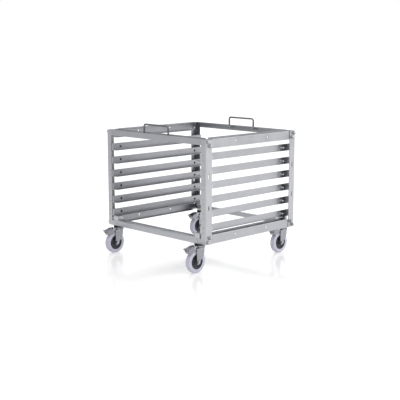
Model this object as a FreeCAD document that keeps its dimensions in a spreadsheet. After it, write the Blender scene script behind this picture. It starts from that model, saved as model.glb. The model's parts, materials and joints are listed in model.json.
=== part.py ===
# Low sheet pan rack on castors: an open steel frame with six pairs of tray runners, two bar
# handles on top and four swivel castors with brake pedals.
#
# Frame of the model: millimetres, X across the rack, +Y to the back, +Z up, the floor at Z = 0
# and the origin under the middle of the whole object, pedals included.
import FreeCAD
import Part
import Sketcher
import math
import os
import re

doc = FreeCAD.newDocument("SheetPanRack")
vec = FreeCAD.Vector

# --- driving dimensions (mm) ---------------------------------------------------------------------
SIZES = [
    # frame
    ("frame_w", 660, "frame width over the posts"),
    ("frame_d", 595, "frame depth over the posts"),
    ("tier_pitch", 63, "height from one tier to the next"),
    ("tier_count", 6, "number of tiers"),
    ("head_room", 80, "top tier's centre to the frame's top"),
    # corner posts
    ("post_end", 28, "post flange on the end face"),
    ("post_side", 38, "post flange on the side face"),
    ("post_wall", 2.5, "post wall"),
    ("bend", 1, "inside radius of a bend"),
    ("rail_bend", 1.5, "outside radius of a rail's top bend"),
    ("slot_long", 24, "length of a post slot"),
    ("slot_wide", 6, "width of a post slot"),
    ("slot_apart", 140, "height between the two slots of a post"),
    ("slot_in", 19, "slots in from the end face"),
    # end and side rails
    ("sheet_t", 2, "wall of rails, runners and brackets"),
    ("end_web", 25, "height of an end rail"),
    ("end_flange", 30, "depth of an end rail's flange"),
    ("end_lip", 4, "up-turned lip of an end rail"),
    ("end_gap", 0.3, "end rail's web from a post"),
    ("side_web", 40, "height of a side rail"),
    ("side_flange", 28, "depth of a side rail's upper flange"),
    ("side_foot", 16, "depth of a side rail's lower flange"),
    ("side_lip", 5, "up-turned lip of a side rail"),
    ("side_start", 43, "side rail's flanges in from the end face"),
    ("rail_in", 3, "side rails and runners in from the end face"),
    ("rail_hole", 8, "diameter of a side rail's spare hole"),
    ("rail_hole_apart", 210, "distance between the spare holes"),
    ("rail_hole_drop", 17, "spare holes below the rail's top"),
    # runners and their brackets
    ("runner_in", 37.5, "tray face of a runner in from the side face"),
    ("runner_tall", 32, "height of a runner"),
    ("runner_ledge", 25, "width of a runner's ledge, wall included"),
    ("ledge_corner", 6, "corner radius of a ledge"),
    ("bracket_long", 78, "bracket's free end in from the end face"),
    ("bracket_low", 18, "bracket's height at its free end"),
    ("bracket_step", 12, "length of the bracket's slope"),
    # fasteners
    ("corner_near", 12, "nearer corner bolt in from the end face"),
    ("corner_far", 24, "farther corner bolt in from the end face"),
    ("top_near", 10, "nearer corner bolt below the frame's top"),
    ("top_far", 28, "farther corner bolt below the frame's top"),
    ("low_near", 11, "nearer corner bolt above the frame's bottom"),
    ("low_far", 29, "farther corner bolt above the frame's bottom"),
    ("corner_d", 8, "corner bolt thread"),
    ("corner_af", 13, "corner bolt and cap nut across flats"),
    ("corner_head", 5.3, "corner bolt head"),
    ("corner_washer", 16.5, "corner washer diameter"),
    ("corner_cap", 12, "height of a corner cap nut"),
    ("runner_bolt_in", 50, "runner bolt in from the end face"),
    ("runner_bolt_d", 6, "runner bolt thread"),
    ("runner_af", 10, "runner cap nut across flats"),
    ("runner_head_d", 11, "runner bolt's low head, diameter"),
    ("runner_head", 2.2, "runner bolt's low head, height"),
    ("runner_washer", 12, "runner washer diameter"),
    ("runner_cap", 10, "height of a runner cap nut"),
    ("washer_t", 1.6, "washer thickness"),
    ("rivet_in", 14.6, "rivets in from the side face"),
    ("rivet_apart", 22, "height between a bracket's two rivets"),
    ("rivet_d", 5, "rivet shank"),
    ("rivet_head_d", 9, "rivet head diameter"),
    ("rivet_head", 1, "rivet head height"),
    ("hole_play", 0.3, "bolt hole's radius over the bolt's"),
    ("thread_play", 0.05, "threads and close fits, radial"),
    ("hex_share", 0.55, "hexagon's share of a cap nut's height"),
    ("dome_share", 0.47, "dome's radius as a share of the nut's width"),
    ("dome_round", 0.43, "dome's rounding as a share of the nut's height"),
    ("thread_share", 0.8, "depth of a cap nut's thread as a share of its height"),
    ("reach_share", 0.75, "how far a bolt reaches into its cap nut"),
    ("head_round", 0.6, "rounding of a low head as a share of its height"),
    ("upset_share", 0.8, "radius of a rivet's tail as a share of its shank's diameter"),
    ("upset_tall", 1.2, "height of a rivet's tail"),
    # handles
    ("handle_d", 8, "handle rod"),
    ("handle_span", 160, "between the centres of a handle's legs"),
    ("handle_rise", 40, "centre of the grip above the frame's top"),
    ("handle_bend", 10, "bend radius of the rod's centre line"),
    ("handle_in", 15, "handles in from the end face"),
    ("handle_tail", 10, "legs below the flange"),
    ("handle_nut_af", 13, "handle nut across flats"),
    ("handle_nut", 6.5, "handle nut height"),
    ("handle_washer", 16, "handle washer diameter"),
    # castor sockets
    ("castor_in", 54, "swivel axis in from the side face"),
    ("socket_w", 30, "socket tube, outside"),
    ("socket_wall", 2, "socket tube wall"),
    ("socket_gap", 1, "socket's top below the lowest ledge, and around its notch"),
    ("stem_fit", 0.15, "stem's clearance in the socket, each side"),
    ("stem_short", 6, "stem's end below the socket's top"),
    ("screw_up", 12, "clamp screw above the frame's bottom"),
    ("screw_d", 5, "clamp screw thread"),
    ("screw_head_d", 9.5, "clamp screw's head diameter"),
    ("screw_head", 2, "clamp screw's head height"),
    # castors
    ("wheel_d", 100, "wheel diameter"),
    ("tread_w", 24, "tyre width"),
    ("tyre_t", 16, "tyre thickness"),
    ("tyre_round", 4, "tyre edge radius"),
    ("rim_t", 4, "rim thickness"),
    ("rim_w", 21, "rim width"),
    ("disc_t", 5, "wheel disc thickness"),
    ("hub_d", 24, "hub diameter"),
    ("hub_play", 1, "hub's end clearance in the fork"),
    ("sleeve_d", 12, "axle sleeve diameter"),
    ("axle_d", 8, "axle bolt"),
    ("axle_af", 13, "axle head and nut across flats"),
    ("axle_head", 6, "axle head and nut height"),
    ("trail", 26, "axle behind the swivel axis, along -Y"),
    ("fork_wall", 2.5, "fork sheet"),
    ("fork_gap", 8.5, "tyre's top to the fork's crown"),
    ("fork_back", 12, "crown's back edge from the swivel axis"),
    ("fork_front", 34, "crown's front edge from the swivel axis"),
    ("cheek_r", 8.5, "round end of a fork cheek"),
    ("cheek_drop", 4, "centre of a cheek's round end below the axle"),
    ("cheek_neck", 23, "cheek's back edge starts to lean this far below the crown"),
    ("cheek_neck_in", 2, "cheek's back edge there, in from the crown's"),
    ("cheek_waist", 37, "cheek's back edge runs to its round end from this far below"),
    ("cheek_waist_in", 7, "cheek's back edge there, in from the crown's"),
    ("race_r", 23, "radius of the swivel's races"),
    ("race_boss", 2, "height of the lower race"),
    ("race_plate", 3.6, "thickness of the upper race"),
    ("race_skirt", 3.4, "drop of the upper race's rim"),
    ("race_rim", 2, "thickness of the upper race's rim"),
    ("collar_d", 36, "collar between race and frame"),
    ("collar_tall", 6, "height of the collar"),
    ("kingpin_d", 12, "kingpin"),
    ("kingpin_head_d", 18, "kingpin's head"),
    ("kingpin_head", 3.7, "height of the kingpin's head"),
    ("ball_d", 4.8, "bearing ball"),
    ("ball_ring", 16, "radius of the ring of balls"),
    ("ball_play", 0.3, "clearance over and under a ball"),
    ("ball_count", 10, "balls in a castor"),
    # brake pedal
    ("pivot_in", 44, "pedal pivot from the swivel axis, along -Y"),
    ("pivot_up", 4, "pedal pivot above the crown"),
    ("pivot_d", 6, "pedal pin"),
    ("pivot_head", 0.84, "height of the pedal pin's heads"),
    ("pivot_head_d", 8.4, "diameter of the pedal pin's heads"),
    ("lug_tall", 10, "pedal lugs above the crown"),
    ("lug_end", 54, "front end of the lugs from the swivel axis"),
    ("lug_gap", 3, "lugs from the race"),
    ("pedal_wall", 2.5, "pedal sheet"),
    ("pedal_play", 1, "pedal's side clearance"),
    ("pedal_eye", 6, "radius of the pedal's eye"),
    ("foot_long", 40, "pedal's tip from its pivot"),
    ("foot_w", 40, "width of the pedal's lip"),
    ("foot_round", 5, "corner radius of the pedal's lip"),
    ("foot_slope", 0.27, "fall of the pedal's top for each millimetre forward"),
    ("foot_start", 14, "foot plate's inner edge from the pivot"),
    ("wing_long", 33, "front of a side plate from the pivot"),
    ("wing_nose", 14, "front corner of a side plate below the pivot"),
    ("wing_heel", 14, "back corner of a side plate below the pivot"),
    ("belly_in", 20, "lowest corner of a side plate in front of the pivot"),
    ("belly_low", 24, "lowest corner of a side plate below the pivot"),
    ("wing_round", 3, "corner radius of a side plate"),
    ("shoe_near", 14, "shoe's back face from the pivot"),
    ("shoe_far", 27, "shoe's front face from the pivot"),
    ("shoe_top", 13, "shoe's top below the pivot"),
    ("shoe_low", 25, "shoe's bottom below the pivot"),
    ("press", 12, "degrees that the pedal is pressed through"),
    ("brake_play", 0.3, "shoe from the tyre when pressed"),
]

# Places and sizes that follow from the driving ones.
DERIVED = {
    "frame_tall": "tier_pitch * tier_count + head_room",
    "ball_channel": "ball_d + 2 * ball_play",
    "crown_top": "wheel_d + fork_gap + fork_wall",
    "race_low": "crown_top + race_boss",
    "race_high": "race_low + ball_channel",
    "castor_tall": "race_high + race_plate + collar_tall",
    "side_x": "frame_w / 2",
    "end_y": "frame_d / 2",
    "castor_x": "side_x - castor_in",
    "castor_end_in": "sheet_t + socket_w / 2",
    "castor_y": "end_y - castor_end_in",
    "pedal_reach": "pivot_in + foot_long",
    # the pedals stick out to the front, so the frame sits back by half of what they add
    "frame_y": "(castor_y + pedal_reach - max(end_y; castor_y + race_r)) / 2",
    "ledge_low": "tier_pitch - runner_tall / 2",
    "socket_tall": "ledge_low - socket_gap",
    "stem_tall": "socket_tall - stem_short",
    "stem_w": "socket_w - 2 * socket_wall - 2 * stem_fit",
    "bracket_x": "runner_in - sheet_t",
    "corner_grip": "post_wall + sheet_t",
    "runner_grip": "2 * sheet_t",
    "pedal_in": "tread_w / 2 + pedal_play",
    "pedal_out": "pedal_in + pedal_wall",
    "fork_in": "pedal_out + pedal_play",
    "fork_out": "fork_in + fork_wall",
    "lug_out": "pedal_in - pedal_play",
    "axle_up": "wheel_d / 2",
    "pivot_z": "crown_top + pivot_up",
    "tyre_in": "wheel_d / 2 - tyre_t",
}

sheet = doc.addObject("Spreadsheet::Sheet", "Sizes")
for row, (alias, value, note) in enumerate(SIZES, 1):
    sheet.set(f"A{row}", note)
    sheet.set(f"B{row}", str(value))
    sheet.setAlias(f"B{row}", alias)
doc.recompute()
ALIASES = {alias for alias, value, note in SIZES}

sub_parts = []


# --- helpers ---------------------------------------------------------------------------------------
def formula(text):
    """Turn size names into references to the sheet, and worked-out names into their formulas."""
    def reference(match):
        word = match.group(0)
        if word in DERIVED:
            return "(" + formula(DERIVED[word]) + ")"
        return "Sizes." + word if word in ALIASES else word
    return re.sub(r"[a-z_]+", reference, str(text))


def number(text):
    """The present value of a formula."""
    result = sheet.evalExpression(formula(text))
    return float(getattr(result, "Value", result))


def bind(thing, prop, text):
    thing.setExpression(prop, formula(text))


def new_body(label, x="0", y="0", z="0"):
    """A PartDesign body placed by formulas."""
    body = doc.addObject("PartDesign::Body", label)
    body.Label = label
    for axis, text in zip("xyz", (x, y, z)):
        bind(body, "Placement.Base." + axis, text)
    return body


def new_node(label, x="0", y="0", z="0"):
    """A body that is a sub-part of its own."""
    body = new_body(label, x, y, z)
    sub_parts.append(body)
    return body


def new_sketch(body, name, plane, offset="0"):
    """A sketch on one of the body's own origin planes, moved along the plane's normal."""
    sketch = body.newObject("Sketcher::SketchObject", name)
    base = [f for f in body.Origin.OriginFeatures if f.Role == plane + "_Plane"][0]
    sketch.AttachmentSupport = [(base, "")]
    sketch.MapMode = "FlatFace"
    if offset != "0":
        bind(sketch, "AttachmentOffset.Base.z", offset)
    return sketch


def pin_point(sketch, geometry, end, x, y):
    """Hold a point of the sketch at formulas; a plain "0" puts it on the axis."""
    for kind, text, axis in (("DistanceX", x, -2), ("DistanceY", y, -1)):
        if text == "0":
            sketch.addConstraint(Sketcher.Constraint("PointOnObject", geometry, end, axis))
            continue
        rule = Sketcher.Constraint(kind, -1, 1, geometry, end, number(text))
        hold(sketch, rule, text)


def hold(sketch, rule, text):
    """Add a dimension and bind it to a formula."""
    index = sketch.addConstraint(rule)
    sketch.renameConstraint(index, f"size{index}")
    bind(sketch, f"Constraints.size{index}", text)


def polygon(sketch, points):
    """A closed outline with each corner at a pair of formulas."""
    corners = [vec(number(x), number(y), 0) for x, y in points]
    first = sketch.GeometryCount
    count = len(points)
    for i in range(count):
        sketch.addGeometry(Part.LineSegment(corners[i], corners[(i + 1) % count]), False)
    for i in range(count):
        follower = first + (i + 1) % count
        sketch.addConstraint(Sketcher.Constraint("Coincident", first + i, 2, follower, 1))
    for i, (x, y) in enumerate(points):
        pin_point(sketch, first + i, 1, x, y)


def rectangle(sketch, x0, y0, x1, y1):
    polygon(sketch, [(x0, y0), (x1, y0), (x1, y1), (x0, y1)])


def circle(sketch, x, y, radius):
    middle = vec(number(x), number(y), 0)
    index = sketch.addGeometry(Part.Circle(middle, vec(0, 0, 1), number(radius)), False)
    hold(sketch, Sketcher.Constraint("Radius", index, number(radius)), radius)
    pin_point(sketch, index, 3, x, y)


def upright_slot(sketch, x, y, length, width):
    """A slot with round ends, long in the sketch's second direction."""
    reach = f"(({length}) - ({width})) / 2"
    radius = f"({width}) / 2"
    high = f"({y}) + {reach}"
    low = f"({y}) - {reach}"
    ends = []
    for level, start in ((high, 0), (low, math.pi)):
        round_end = Part.Circle(vec(number(x), number(level), 0), vec(0, 0, 1), number(radius))
        arc = Part.ArcOfCircle(round_end, start, start + math.pi)
        ends.append(sketch.addGeometry(arc, False))
    top, bottom = ends
    left_x = number(x) - number(radius)
    right_x = number(x) + number(radius)
    high_y = number(high)
    low_y = number(low)
    left = sketch.addGeometry(Part.LineSegment(vec(left_x, high_y, 0), vec(left_x, low_y, 0)), False)
    right = sketch.addGeometry(Part.LineSegment(vec(right_x, low_y, 0), vec(right_x, high_y, 0)), False)
    for a, a_end, b, b_end in ((top, 2, left, 1), (left, 2, bottom, 1),
                               (bottom, 2, right, 1), (right, 2, top, 1)):
        sketch.addConstraint(Sketcher.Constraint("Tangent", a, a_end, b, b_end))
    sketch.addConstraint(Sketcher.Constraint("Equal", top, bottom))
    hold(sketch, Sketcher.Constraint("Radius", top, number(radius)), radius)
    pin_point(sketch, top, 3, x, high)
    pin_point(sketch, bottom, 3, x, low)


def pad(body, sketch, length, both_ways=True):
    """Thicken a sketch along its normal, by default half to each side."""
    feature = body.newObject("PartDesign::Pad", sketch.Label + "Pad")
    feature.Profile = sketch
    feature.SideType = "Symmetric" if both_ways else "One side"
    bind(feature, "Length", length)
    return feature


def cut(body, sketch, length):
    """Cut a sketch through, half the length to each side of its plane."""
    feature = body.newObject("PartDesign::Pocket", sketch.Label + "Cut")
    feature.Profile = sketch
    feature.SideType = "Symmetric"
    bind(feature, "Length", length)
    return feature


def revolve(body, sketch, axis):
    """Turn a sketch a whole turn about its own H_Axis or V_Axis."""
    feature = body.newObject("PartDesign::Revolution", sketch.Label + "Turn")
    feature.Profile = sketch
    feature.ReferenceAxis = (sketch, [axis])
    feature.Angle = 360
    return feature


def rows(body, feature, pitch, count):
    """Repeat a feature upwards."""
    pattern = body.newObject("PartDesign::LinearPattern", feature.Label + "Rows")
    pattern.Originals = [feature]
    upright = [f for f in body.Origin.OriginFeatures if f.Role == "Z_Axis"][0]
    pattern.Direction = (upright, [""])
    bind(pattern, "Length", f"({pitch}) * ({count} - 1)")
    bind(pattern, "Occurrences", count)
    body.Tip = pattern


def near(a, b):
    return abs(a - b) < 0.001


def straight_edges(shape, axis, centred, **where):
    """Names of the straight edges that run along an axis at the given coordinates."""
    names = []
    for i, edge in enumerate(shape.Edges, 1):
        first, last = edge.Vertexes[0].Point, edge.Vertexes[-1].Point
        run = last - first
        if run.Length < 0.001 or not near(abs(getattr(run, axis)), run.Length):
            continue
        if centred and not near(getattr(first, axis), -getattr(last, axis)):
            continue
        if all(near(getattr(first, key), value) for key, value in where.items()):
            names.append(f"Edge{i}")
    return names


def round_edges(body, radius, axis, places, centred=False):
    """Fillet the edges along an axis at each of the places, or only those centred on the body."""
    doc.recompute()
    base = body.Tip
    names = []
    for where in places:
        values = {key: number(text) for key, text in where.items()}
        names += straight_edges(base.Shape, axis, centred, **values)
    feature = body.newObject("PartDesign::Fillet", "Round")
    feature.Base = (base, names)
    bind(feature, "Radius", radius)


def round_circle(body, radius, ring, z):
    """Fillet the circular edge of one radius at one height."""
    doc.recompute()
    base = body.Tip
    names = []
    for i, edge in enumerate(base.Shape.Edges, 1):
        curve = edge.Curve
        if isinstance(curve, Part.Circle) and near(curve.Radius, number(ring)):
            if near(curve.Center.z, number(z)):
                names.append(f"Edge{i}")
    feature = body.newObject("PartDesign::Fillet", "Round")
    feature.Base = (base, names)
    bind(feature, "Radius", radius)


def group(label, copies):
    """One sub-part made of separate copies: (template, x, y, z, rotation) for each."""
    links = []
    for template, x, y, z, rotation in copies:
        link = doc.addObject("App::Link", label + "Copy")
        link.LinkedObject = template
        link.Placement = FreeCAD.Placement(vec(0, 0, 0), rotation)
        for axis, text in zip("xyz", (x, y, z)):
            bind(link, "Placement.Base." + axis, text)
        links.append(link)
    compound = doc.addObject("Part::Compound", label)
    compound.Label = label
    compound.Links = links
    sub_parts.append(compound)


def turned(x, y, z, degrees):
    return FreeCAD.Rotation(vec(x, y, z), degrees)


TIERS = range(1, int(number("tier_count")) + 1)
SIDES = (("left", -1), ("right", 1))
ENDS = (("front", -1), ("back", 1))
UPRIGHT = turned(0, 0, 1, 0)
# an axis that points up in a template points out of the left or right side, or the front or back
OUT_SIDE = {-1: turned(0, 1, 0, -90), 1: turned(0, 1, 0, 90)}
OUT_END = {-1: turned(1, 0, 0, 90), 1: turned(1, 0, 0, -90)}
FACING_END = {-1: UPRIGHT, 1: turned(0, 0, 1, 180)}


# --- frame -----------------------------------------------------------------------------------------
def post(label, sx, sy):
    """Corner post: an angle with its corner outside, slots in the side and rivet holes in the end."""
    body = new_node(label, f"{sx} * side_x", f"frame_y + {sy} * end_y", "castor_tall")
    section = new_sketch(body, "Section", "XY")
    inx, iny = -sx, -sy
    polygon(section, [
        ("0", "0"),
        (f"{inx} * post_end", "0"),
        (f"{inx} * post_end", f"{iny} * post_wall"),
        (f"{inx} * post_wall", f"{iny} * post_wall"),
        (f"{inx} * post_wall", f"{iny} * post_side"),
        ("0", f"{iny} * post_side"),
    ])
    pad(body, section, "frame_tall - sheet_t", both_ways=False)
    round_edges(body, "bend + post_wall", "z", [{"x": "0", "y": "0"}])
    round_edges(body, "bend", "z", [{"x": f"{inx} * post_wall", "y": f"{iny} * post_wall"}])
    slots = new_sketch(body, "Slots", "YZ")
    for step in (-1, 1):
        level = f"frame_tall / 2 + {step} * slot_apart / 2"
        upright_slot(slots, f"{iny} * slot_in", level, "slot_long", "slot_wide")
    for inset, level in CORNER_BOLTS:
        circle(slots, f"{iny} * ({inset})", level, "corner_d / 2 + hole_play")
    cut(body, slots, "3 * post_wall")
    rivets = new_sketch(body, "Rivets", "XZ")
    for step in (-1, 1):
        level = f"tier_pitch + {step} * rivet_apart / 2"
        circle(rivets, f"{inx} * rivet_in", level, "rivet_d / 2 + thread_play")
    holes = cut(body, rivets, "3 * post_wall")
    rows(body, holes, "tier_pitch", "tier_count")


# corner bolts of one corner: in from the end face, above the frame's bottom
CORNER_BOLTS = [
    ("corner_near", "frame_tall - top_near"),
    ("corner_far", "frame_tall - top_far"),
    ("corner_far", "low_far"),
    ("corner_near", "low_near"),
]


def top_end_rail(label, sy):
    """Upper end rail: web between the posts, flange over their tops, lip along its inner edge."""
    body = new_node(label, "0", f"frame_y + {sy} * end_y", "castor_tall")
    iny = -sy
    flange = new_sketch(body, "Flange", "YZ")
    rectangle(flange, "0", "frame_tall - sheet_t", f"{iny} * end_flange", "frame_tall")
    pad(body, flange, "frame_w")
    web = new_sketch(body, "Web", "YZ")
    rectangle(web, "0", "frame_tall - end_web", f"{iny} * sheet_t", "frame_tall - sheet_t / 2")
    pad(body, web, "frame_w - 2 * (post_end + end_gap)")
    lip = new_sketch(body, "Lip", "YZ")
    rectangle(lip, f"{iny} * (end_flange - sheet_t)", "frame_tall - sheet_t / 2",
              f"{iny} * end_flange", "frame_tall + end_lip")
    pad(body, lip, "frame_w - 2 * end_flange")
    round_edges(body, "rail_bend", "x", [
        {"y": "0", "z": "frame_tall"},
        {"y": f"{iny} * end_flange", "z": "frame_tall - sheet_t"},
    ])
    round_edges(body, "bend", "x", [
        {"y": f"{iny} * sheet_t", "z": "frame_tall - sheet_t"},
        {"y": f"{iny} * (end_flange - sheet_t)", "z": "frame_tall"},
    ])
    holes = new_sketch(body, "HandleHoles", "XY", "frame_tall")
    for step in (-1, 1):
        circle(holes, f"{step} * handle_span / 2", f"{iny} * handle_in", "handle_d / 2 + hole_play")
    cut(body, holes, "3 * sheet_t")


def bottom_end_rail(label, sy):
    """Lower end rail between the posts, notched around the castor sockets."""
    body = new_node(label, "0", f"frame_y + {sy} * end_y", "castor_tall")
    iny = -sy
    section = new_sketch(body, "Section", "YZ")
    polygon(section, [
        ("0", "0"),
        (f"{iny} * sheet_t", "0"),
        (f"{iny} * sheet_t", "end_web - sheet_t"),
        (f"{iny} * end_flange", "end_web - sheet_t"),
        (f"{iny} * end_flange", "end_web + end_lip"),
        (f"{iny} * (end_flange - sheet_t)", "end_web + end_lip"),
        (f"{iny} * (end_flange - sheet_t)", "end_web"),
        ("0", "end_web"),
    ])
    pad(body, section, "frame_w - 2 * (post_end + end_gap)")
    round_edges(body, "bend + sheet_t", "x", [
        {"y": "0", "z": "end_web"},
        {"y": f"{iny} * end_flange", "z": "end_web - sheet_t"},
    ])
    round_edges(body, "bend", "x", [
        {"y": f"{iny} * sheet_t", "z": "end_web - sheet_t"},
        {"y": f"{iny} * (end_flange - sheet_t)", "z": "end_web"},
    ])
    notches = new_sketch(body, "Notches", "XY", "end_web")
    for step in (-1, 1):
        rectangle(notches, f"{step} * (castor_x + socket_w / 2 + socket_gap)", f"{iny} * sheet_t",
                  f"{step} * (castor_x - socket_w / 2 - socket_gap)", f"{iny} * (end_flange + 1)")
    cut(body, notches, "4 * end_lip")
    screws = new_sketch(body, "ScrewHoles", "XZ")
    for step in (-1, 1):
        circle(screws, f"{step} * castor_x", "screw_up", "screw_d / 2 + hole_play")
    cut(body, screws, "3 * sheet_t")


def side_rail(label, sx, top, bolts):
    """Side rail: a web inside the posts, a deep upper flange with a lip and a short lower one."""
    face = "side_x - post_wall"
    body = new_node(label, f"{sx} * ({face})", "frame_y", "castor_tall")
    inx = -sx
    low = f"({top}) - side_web"
    web = new_sketch(body, "Web", "XZ")
    rectangle(web, "0", low, f"{inx} * sheet_t", f"({top}) - sheet_t")
    pad(body, web, "frame_d - 2 * rail_in")
    flanges = new_sketch(body, "Flanges", "XZ")
    polygon(flanges, [
        ("0", low),
        (f"{inx} * side_foot", low),
        (f"{inx} * side_foot", f"{low} + sheet_t"),
        (f"{inx} * sheet_t", f"{low} + sheet_t"),
        (f"{inx} * sheet_t", f"({top}) - sheet_t"),
        (f"{inx} * side_flange", f"({top}) - sheet_t"),
        (f"{inx} * side_flange", f"({top}) + side_lip"),
        (f"{inx} * (side_flange - sheet_t)", f"({top}) + side_lip"),
        (f"{inx} * (side_flange - sheet_t)", top),
        ("0", top),
    ])
    pad(body, flanges, "frame_d - 2 * side_start")
    round_edges(body, "rail_bend", "y", [{"x": "0", "z": top}])
    round_edges(body, "bend", "y", [
        {"x": f"{inx} * sheet_t", "z": f"{low} + sheet_t"},
        {"x": f"{inx} * sheet_t", "z": f"({top}) - sheet_t"},
        {"x": f"{inx} * (side_flange - sheet_t)", "z": top},
    ], centred=True)
    round_edges(body, "bend + sheet_t", "y", [{"x": f"{inx} * side_flange", "z": f"({top}) - sheet_t"}])
    holes = new_sketch(body, "Holes", "YZ")
    for step in (-1, 1):
        circle(holes, f"{step} * rail_hole_apart / 2", f"({top}) - rail_hole_drop", "rail_hole / 2")
        for inset, level in bolts:
            circle(holes, f"{step} * (end_y - {inset})", level, "corner_d / 2 + hole_play")
    cut(body, holes, "3 * sheet_t")


# --- tray runners ----------------------------------------------------------------------------------
def runner(label, sx, tier):
    """Tray runner: an upright flange with a ledge along its bottom."""
    body = new_node(label, f"{sx} * (side_x - runner_in)", "frame_y",
                    f"castor_tall + {tier} * tier_pitch")
    inx = -sx
    section = new_sketch(body, "Section", "XZ")
    polygon(section, [
        (f"{sx} * sheet_t", "-runner_tall / 2"),
        (f"{sx} * sheet_t", "runner_tall / 2"),
        ("0", "runner_tall / 2"),
        ("0", "sheet_t - runner_tall / 2"),
        (f"{inx} * runner_ledge", "sheet_t - runner_tall / 2"),
        (f"{inx} * runner_ledge", "-runner_tall / 2"),
    ])
    pad(body, section, "frame_d - 2 * rail_in")
    round_edges(body, "bend + sheet_t", "y", [{"x": f"{sx} * sheet_t", "z": "-runner_tall / 2"}])
    round_edges(body, "bend", "y", [{"x": "0", "z": "sheet_t - runner_tall / 2"}])
    round_edges(body, "ledge_corner", "z", [
        {"x": f"{inx} * runner_ledge", "y": f"{step} * (end_y - rail_in)"} for step in (-1, 1)
    ])
    holes = new_sketch(body, "Holes", "YZ")
    for step in (-1, 1):
        circle(holes, f"{step} * (end_y - runner_bolt_in)", "0", "runner_bolt_d / 2 + hole_play")
    cut(body, holes, "3 * sheet_t")


def bracket(sx, sy):
    """Angle from a post to a runner's end; its long leg drops to a lower free end."""
    body = new_body(f"bracket_template_{sx}_{sy}".replace("-1", "low"))
    inx, iny = -sx, -sy
    plan = new_sketch(body, "Plan", "XY")
    polygon(plan, [
        (f"{inx} * (post_wall + sheet_t)", f"{iny} * post_wall"),
        (f"{inx} * bracket_x", f"{iny} * post_wall"),
        (f"{inx} * bracket_x", f"{iny} * bracket_long"),
        (f"{inx} * (bracket_x - sheet_t)", f"{iny} * bracket_long"),
        (f"{inx} * (bracket_x - sheet_t)", f"{iny} * (post_wall + sheet_t)"),
        (f"{inx} * (post_wall + sheet_t)", f"{iny} * (post_wall + sheet_t)"),
    ])
    pad(body, plan, "runner_tall")
    round_edges(body, "bend", "z", [
        {"x": f"{inx} * (bracket_x - sheet_t)", "y": f"{iny} * (post_wall + sheet_t)"},
    ])
    slope = new_sketch(body, "Slope", "YZ", f"{inx} * (bracket_x - sheet_t / 2)")
    step_end = "bracket_long - bracket_step / 2"
    polygon(slope, [
        (f"{iny} * ({step_end} - bracket_step)", "runner_tall / 2"),
        (f"{iny} * ({step_end})", "bracket_low - runner_tall / 2"),
        (f"{iny} * (bracket_long + 1)", "bracket_low - runner_tall / 2"),
        (f"{iny} * (bracket_long + 1)", "runner_tall / 2 + 1"),
        (f"{iny} * ({step_end} - bracket_step)", "runner_tall / 2 + 1"),
    ])
    cut(body, slope, "3 * sheet_t")
    bolt_hole = new_sketch(body, "BoltHole", "YZ", f"{inx} * (bracket_x - sheet_t / 2)")
    circle(bolt_hole, f"{iny} * runner_bolt_in", "0", "runner_bolt_d / 2 + hole_play")
    cut(body, bolt_hole, "3 * sheet_t")
    rivet_holes = new_sketch(body, "RivetHoles", "XZ")
    for step in (-1, 1):
        circle(rivet_holes, f"{inx} * rivet_in", f"{step} * rivet_apart / 2", "rivet_d / 2 + thread_play")
    cut(body, rivet_holes, "4 * (post_wall + sheet_t)")
    return body


# --- fasteners -------------------------------------------------------------------------------------
def hexagon(body, across_flats, height, z="0"):
    """A hexagonal prism that rises from one height."""
    prism = body.newObject("PartDesign::AdditivePrism", "Hexagon")
    prism.Polygon = 6
    bind(prism, "Circumradius", f"({across_flats}) / sqrt(3)")
    bind(prism, "Height", height)
    if z != "0":
        bind(prism, "Placement.Base.z", z)


def stud(body, radius, height, z="0"):
    """A cylinder that rises from one height."""
    cylinder = body.newObject("PartDesign::AdditiveCylinder", "Stud")
    bind(cylinder, "Radius", radius)
    bind(cylinder, "Height", height)
    if z != "0":
        bind(cylinder, "Placement.Base.z", z)


def bore(body, radius, height, z="0"):
    """A round hole upwards from one height."""
    cylinder = body.newObject("PartDesign::SubtractiveCylinder", "Bore")
    bind(cylinder, "Radius", radius)
    bind(cylinder, "Height", height)
    if z != "0":
        bind(cylinder, "Placement.Base.z", z)


def washer(label, diameter, thread, thickness, z):
    body = new_body(label)
    stud(body, f"{diameter} / 2", thickness, z)
    bore(body, f"{thread} / 2 + hole_play", thickness, z)
    return body


def cap_nut(label, across_flats, thread, height, z):
    """Domed nut with a blind thread."""
    body = new_body(label)
    hexagon(body, across_flats, f"{height} * hex_share", z)
    dome = f"{across_flats} * dome_share"
    stud(body, dome, f"{height} * (1 - hex_share)", f"{z} + {height} * hex_share")
    round_circle(body, f"{height} * dome_round", dome, f"{z} + {height}")
    bore(body, f"{thread} / 2 + thread_play", f"{height} * thread_share", z)
    return body


def hex_bolt(label, across_flats, head, thread, reach):
    """Bolt through its seat at zero, head below, thread up to a height."""
    body = new_body(label)
    hexagon(body, across_flats, head, f"-{head}")
    stud(body, f"{thread} / 2", reach)
    return body


def low_bolt(label, diameter, head, thread, reach):
    """Round low-headed bolt or screw."""
    body = new_body(label)
    stud(body, f"{diameter} / 2", head, f"-{head}")
    round_circle(body, f"{head} * head_round", f"{diameter} / 2", f"-{head}")
    stud(body, f"{thread} / 2", reach)
    return body


def rivet(label):
    """Blind rivet: low head outside, upset tail inside, seat at zero."""
    body = new_body(label)
    stud(body, "rivet_head_d / 2", "rivet_head")
    round_circle(body, "rivet_head * head_round", "rivet_head_d / 2", "rivet_head")
    stud(body, "rivet_d / 2", "post_wall + sheet_t", "-(post_wall + sheet_t)")
    stud(body, "rivet_d * upset_share", "upset_tall", "-(post_wall + sheet_t + upset_tall)")
    return body


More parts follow.
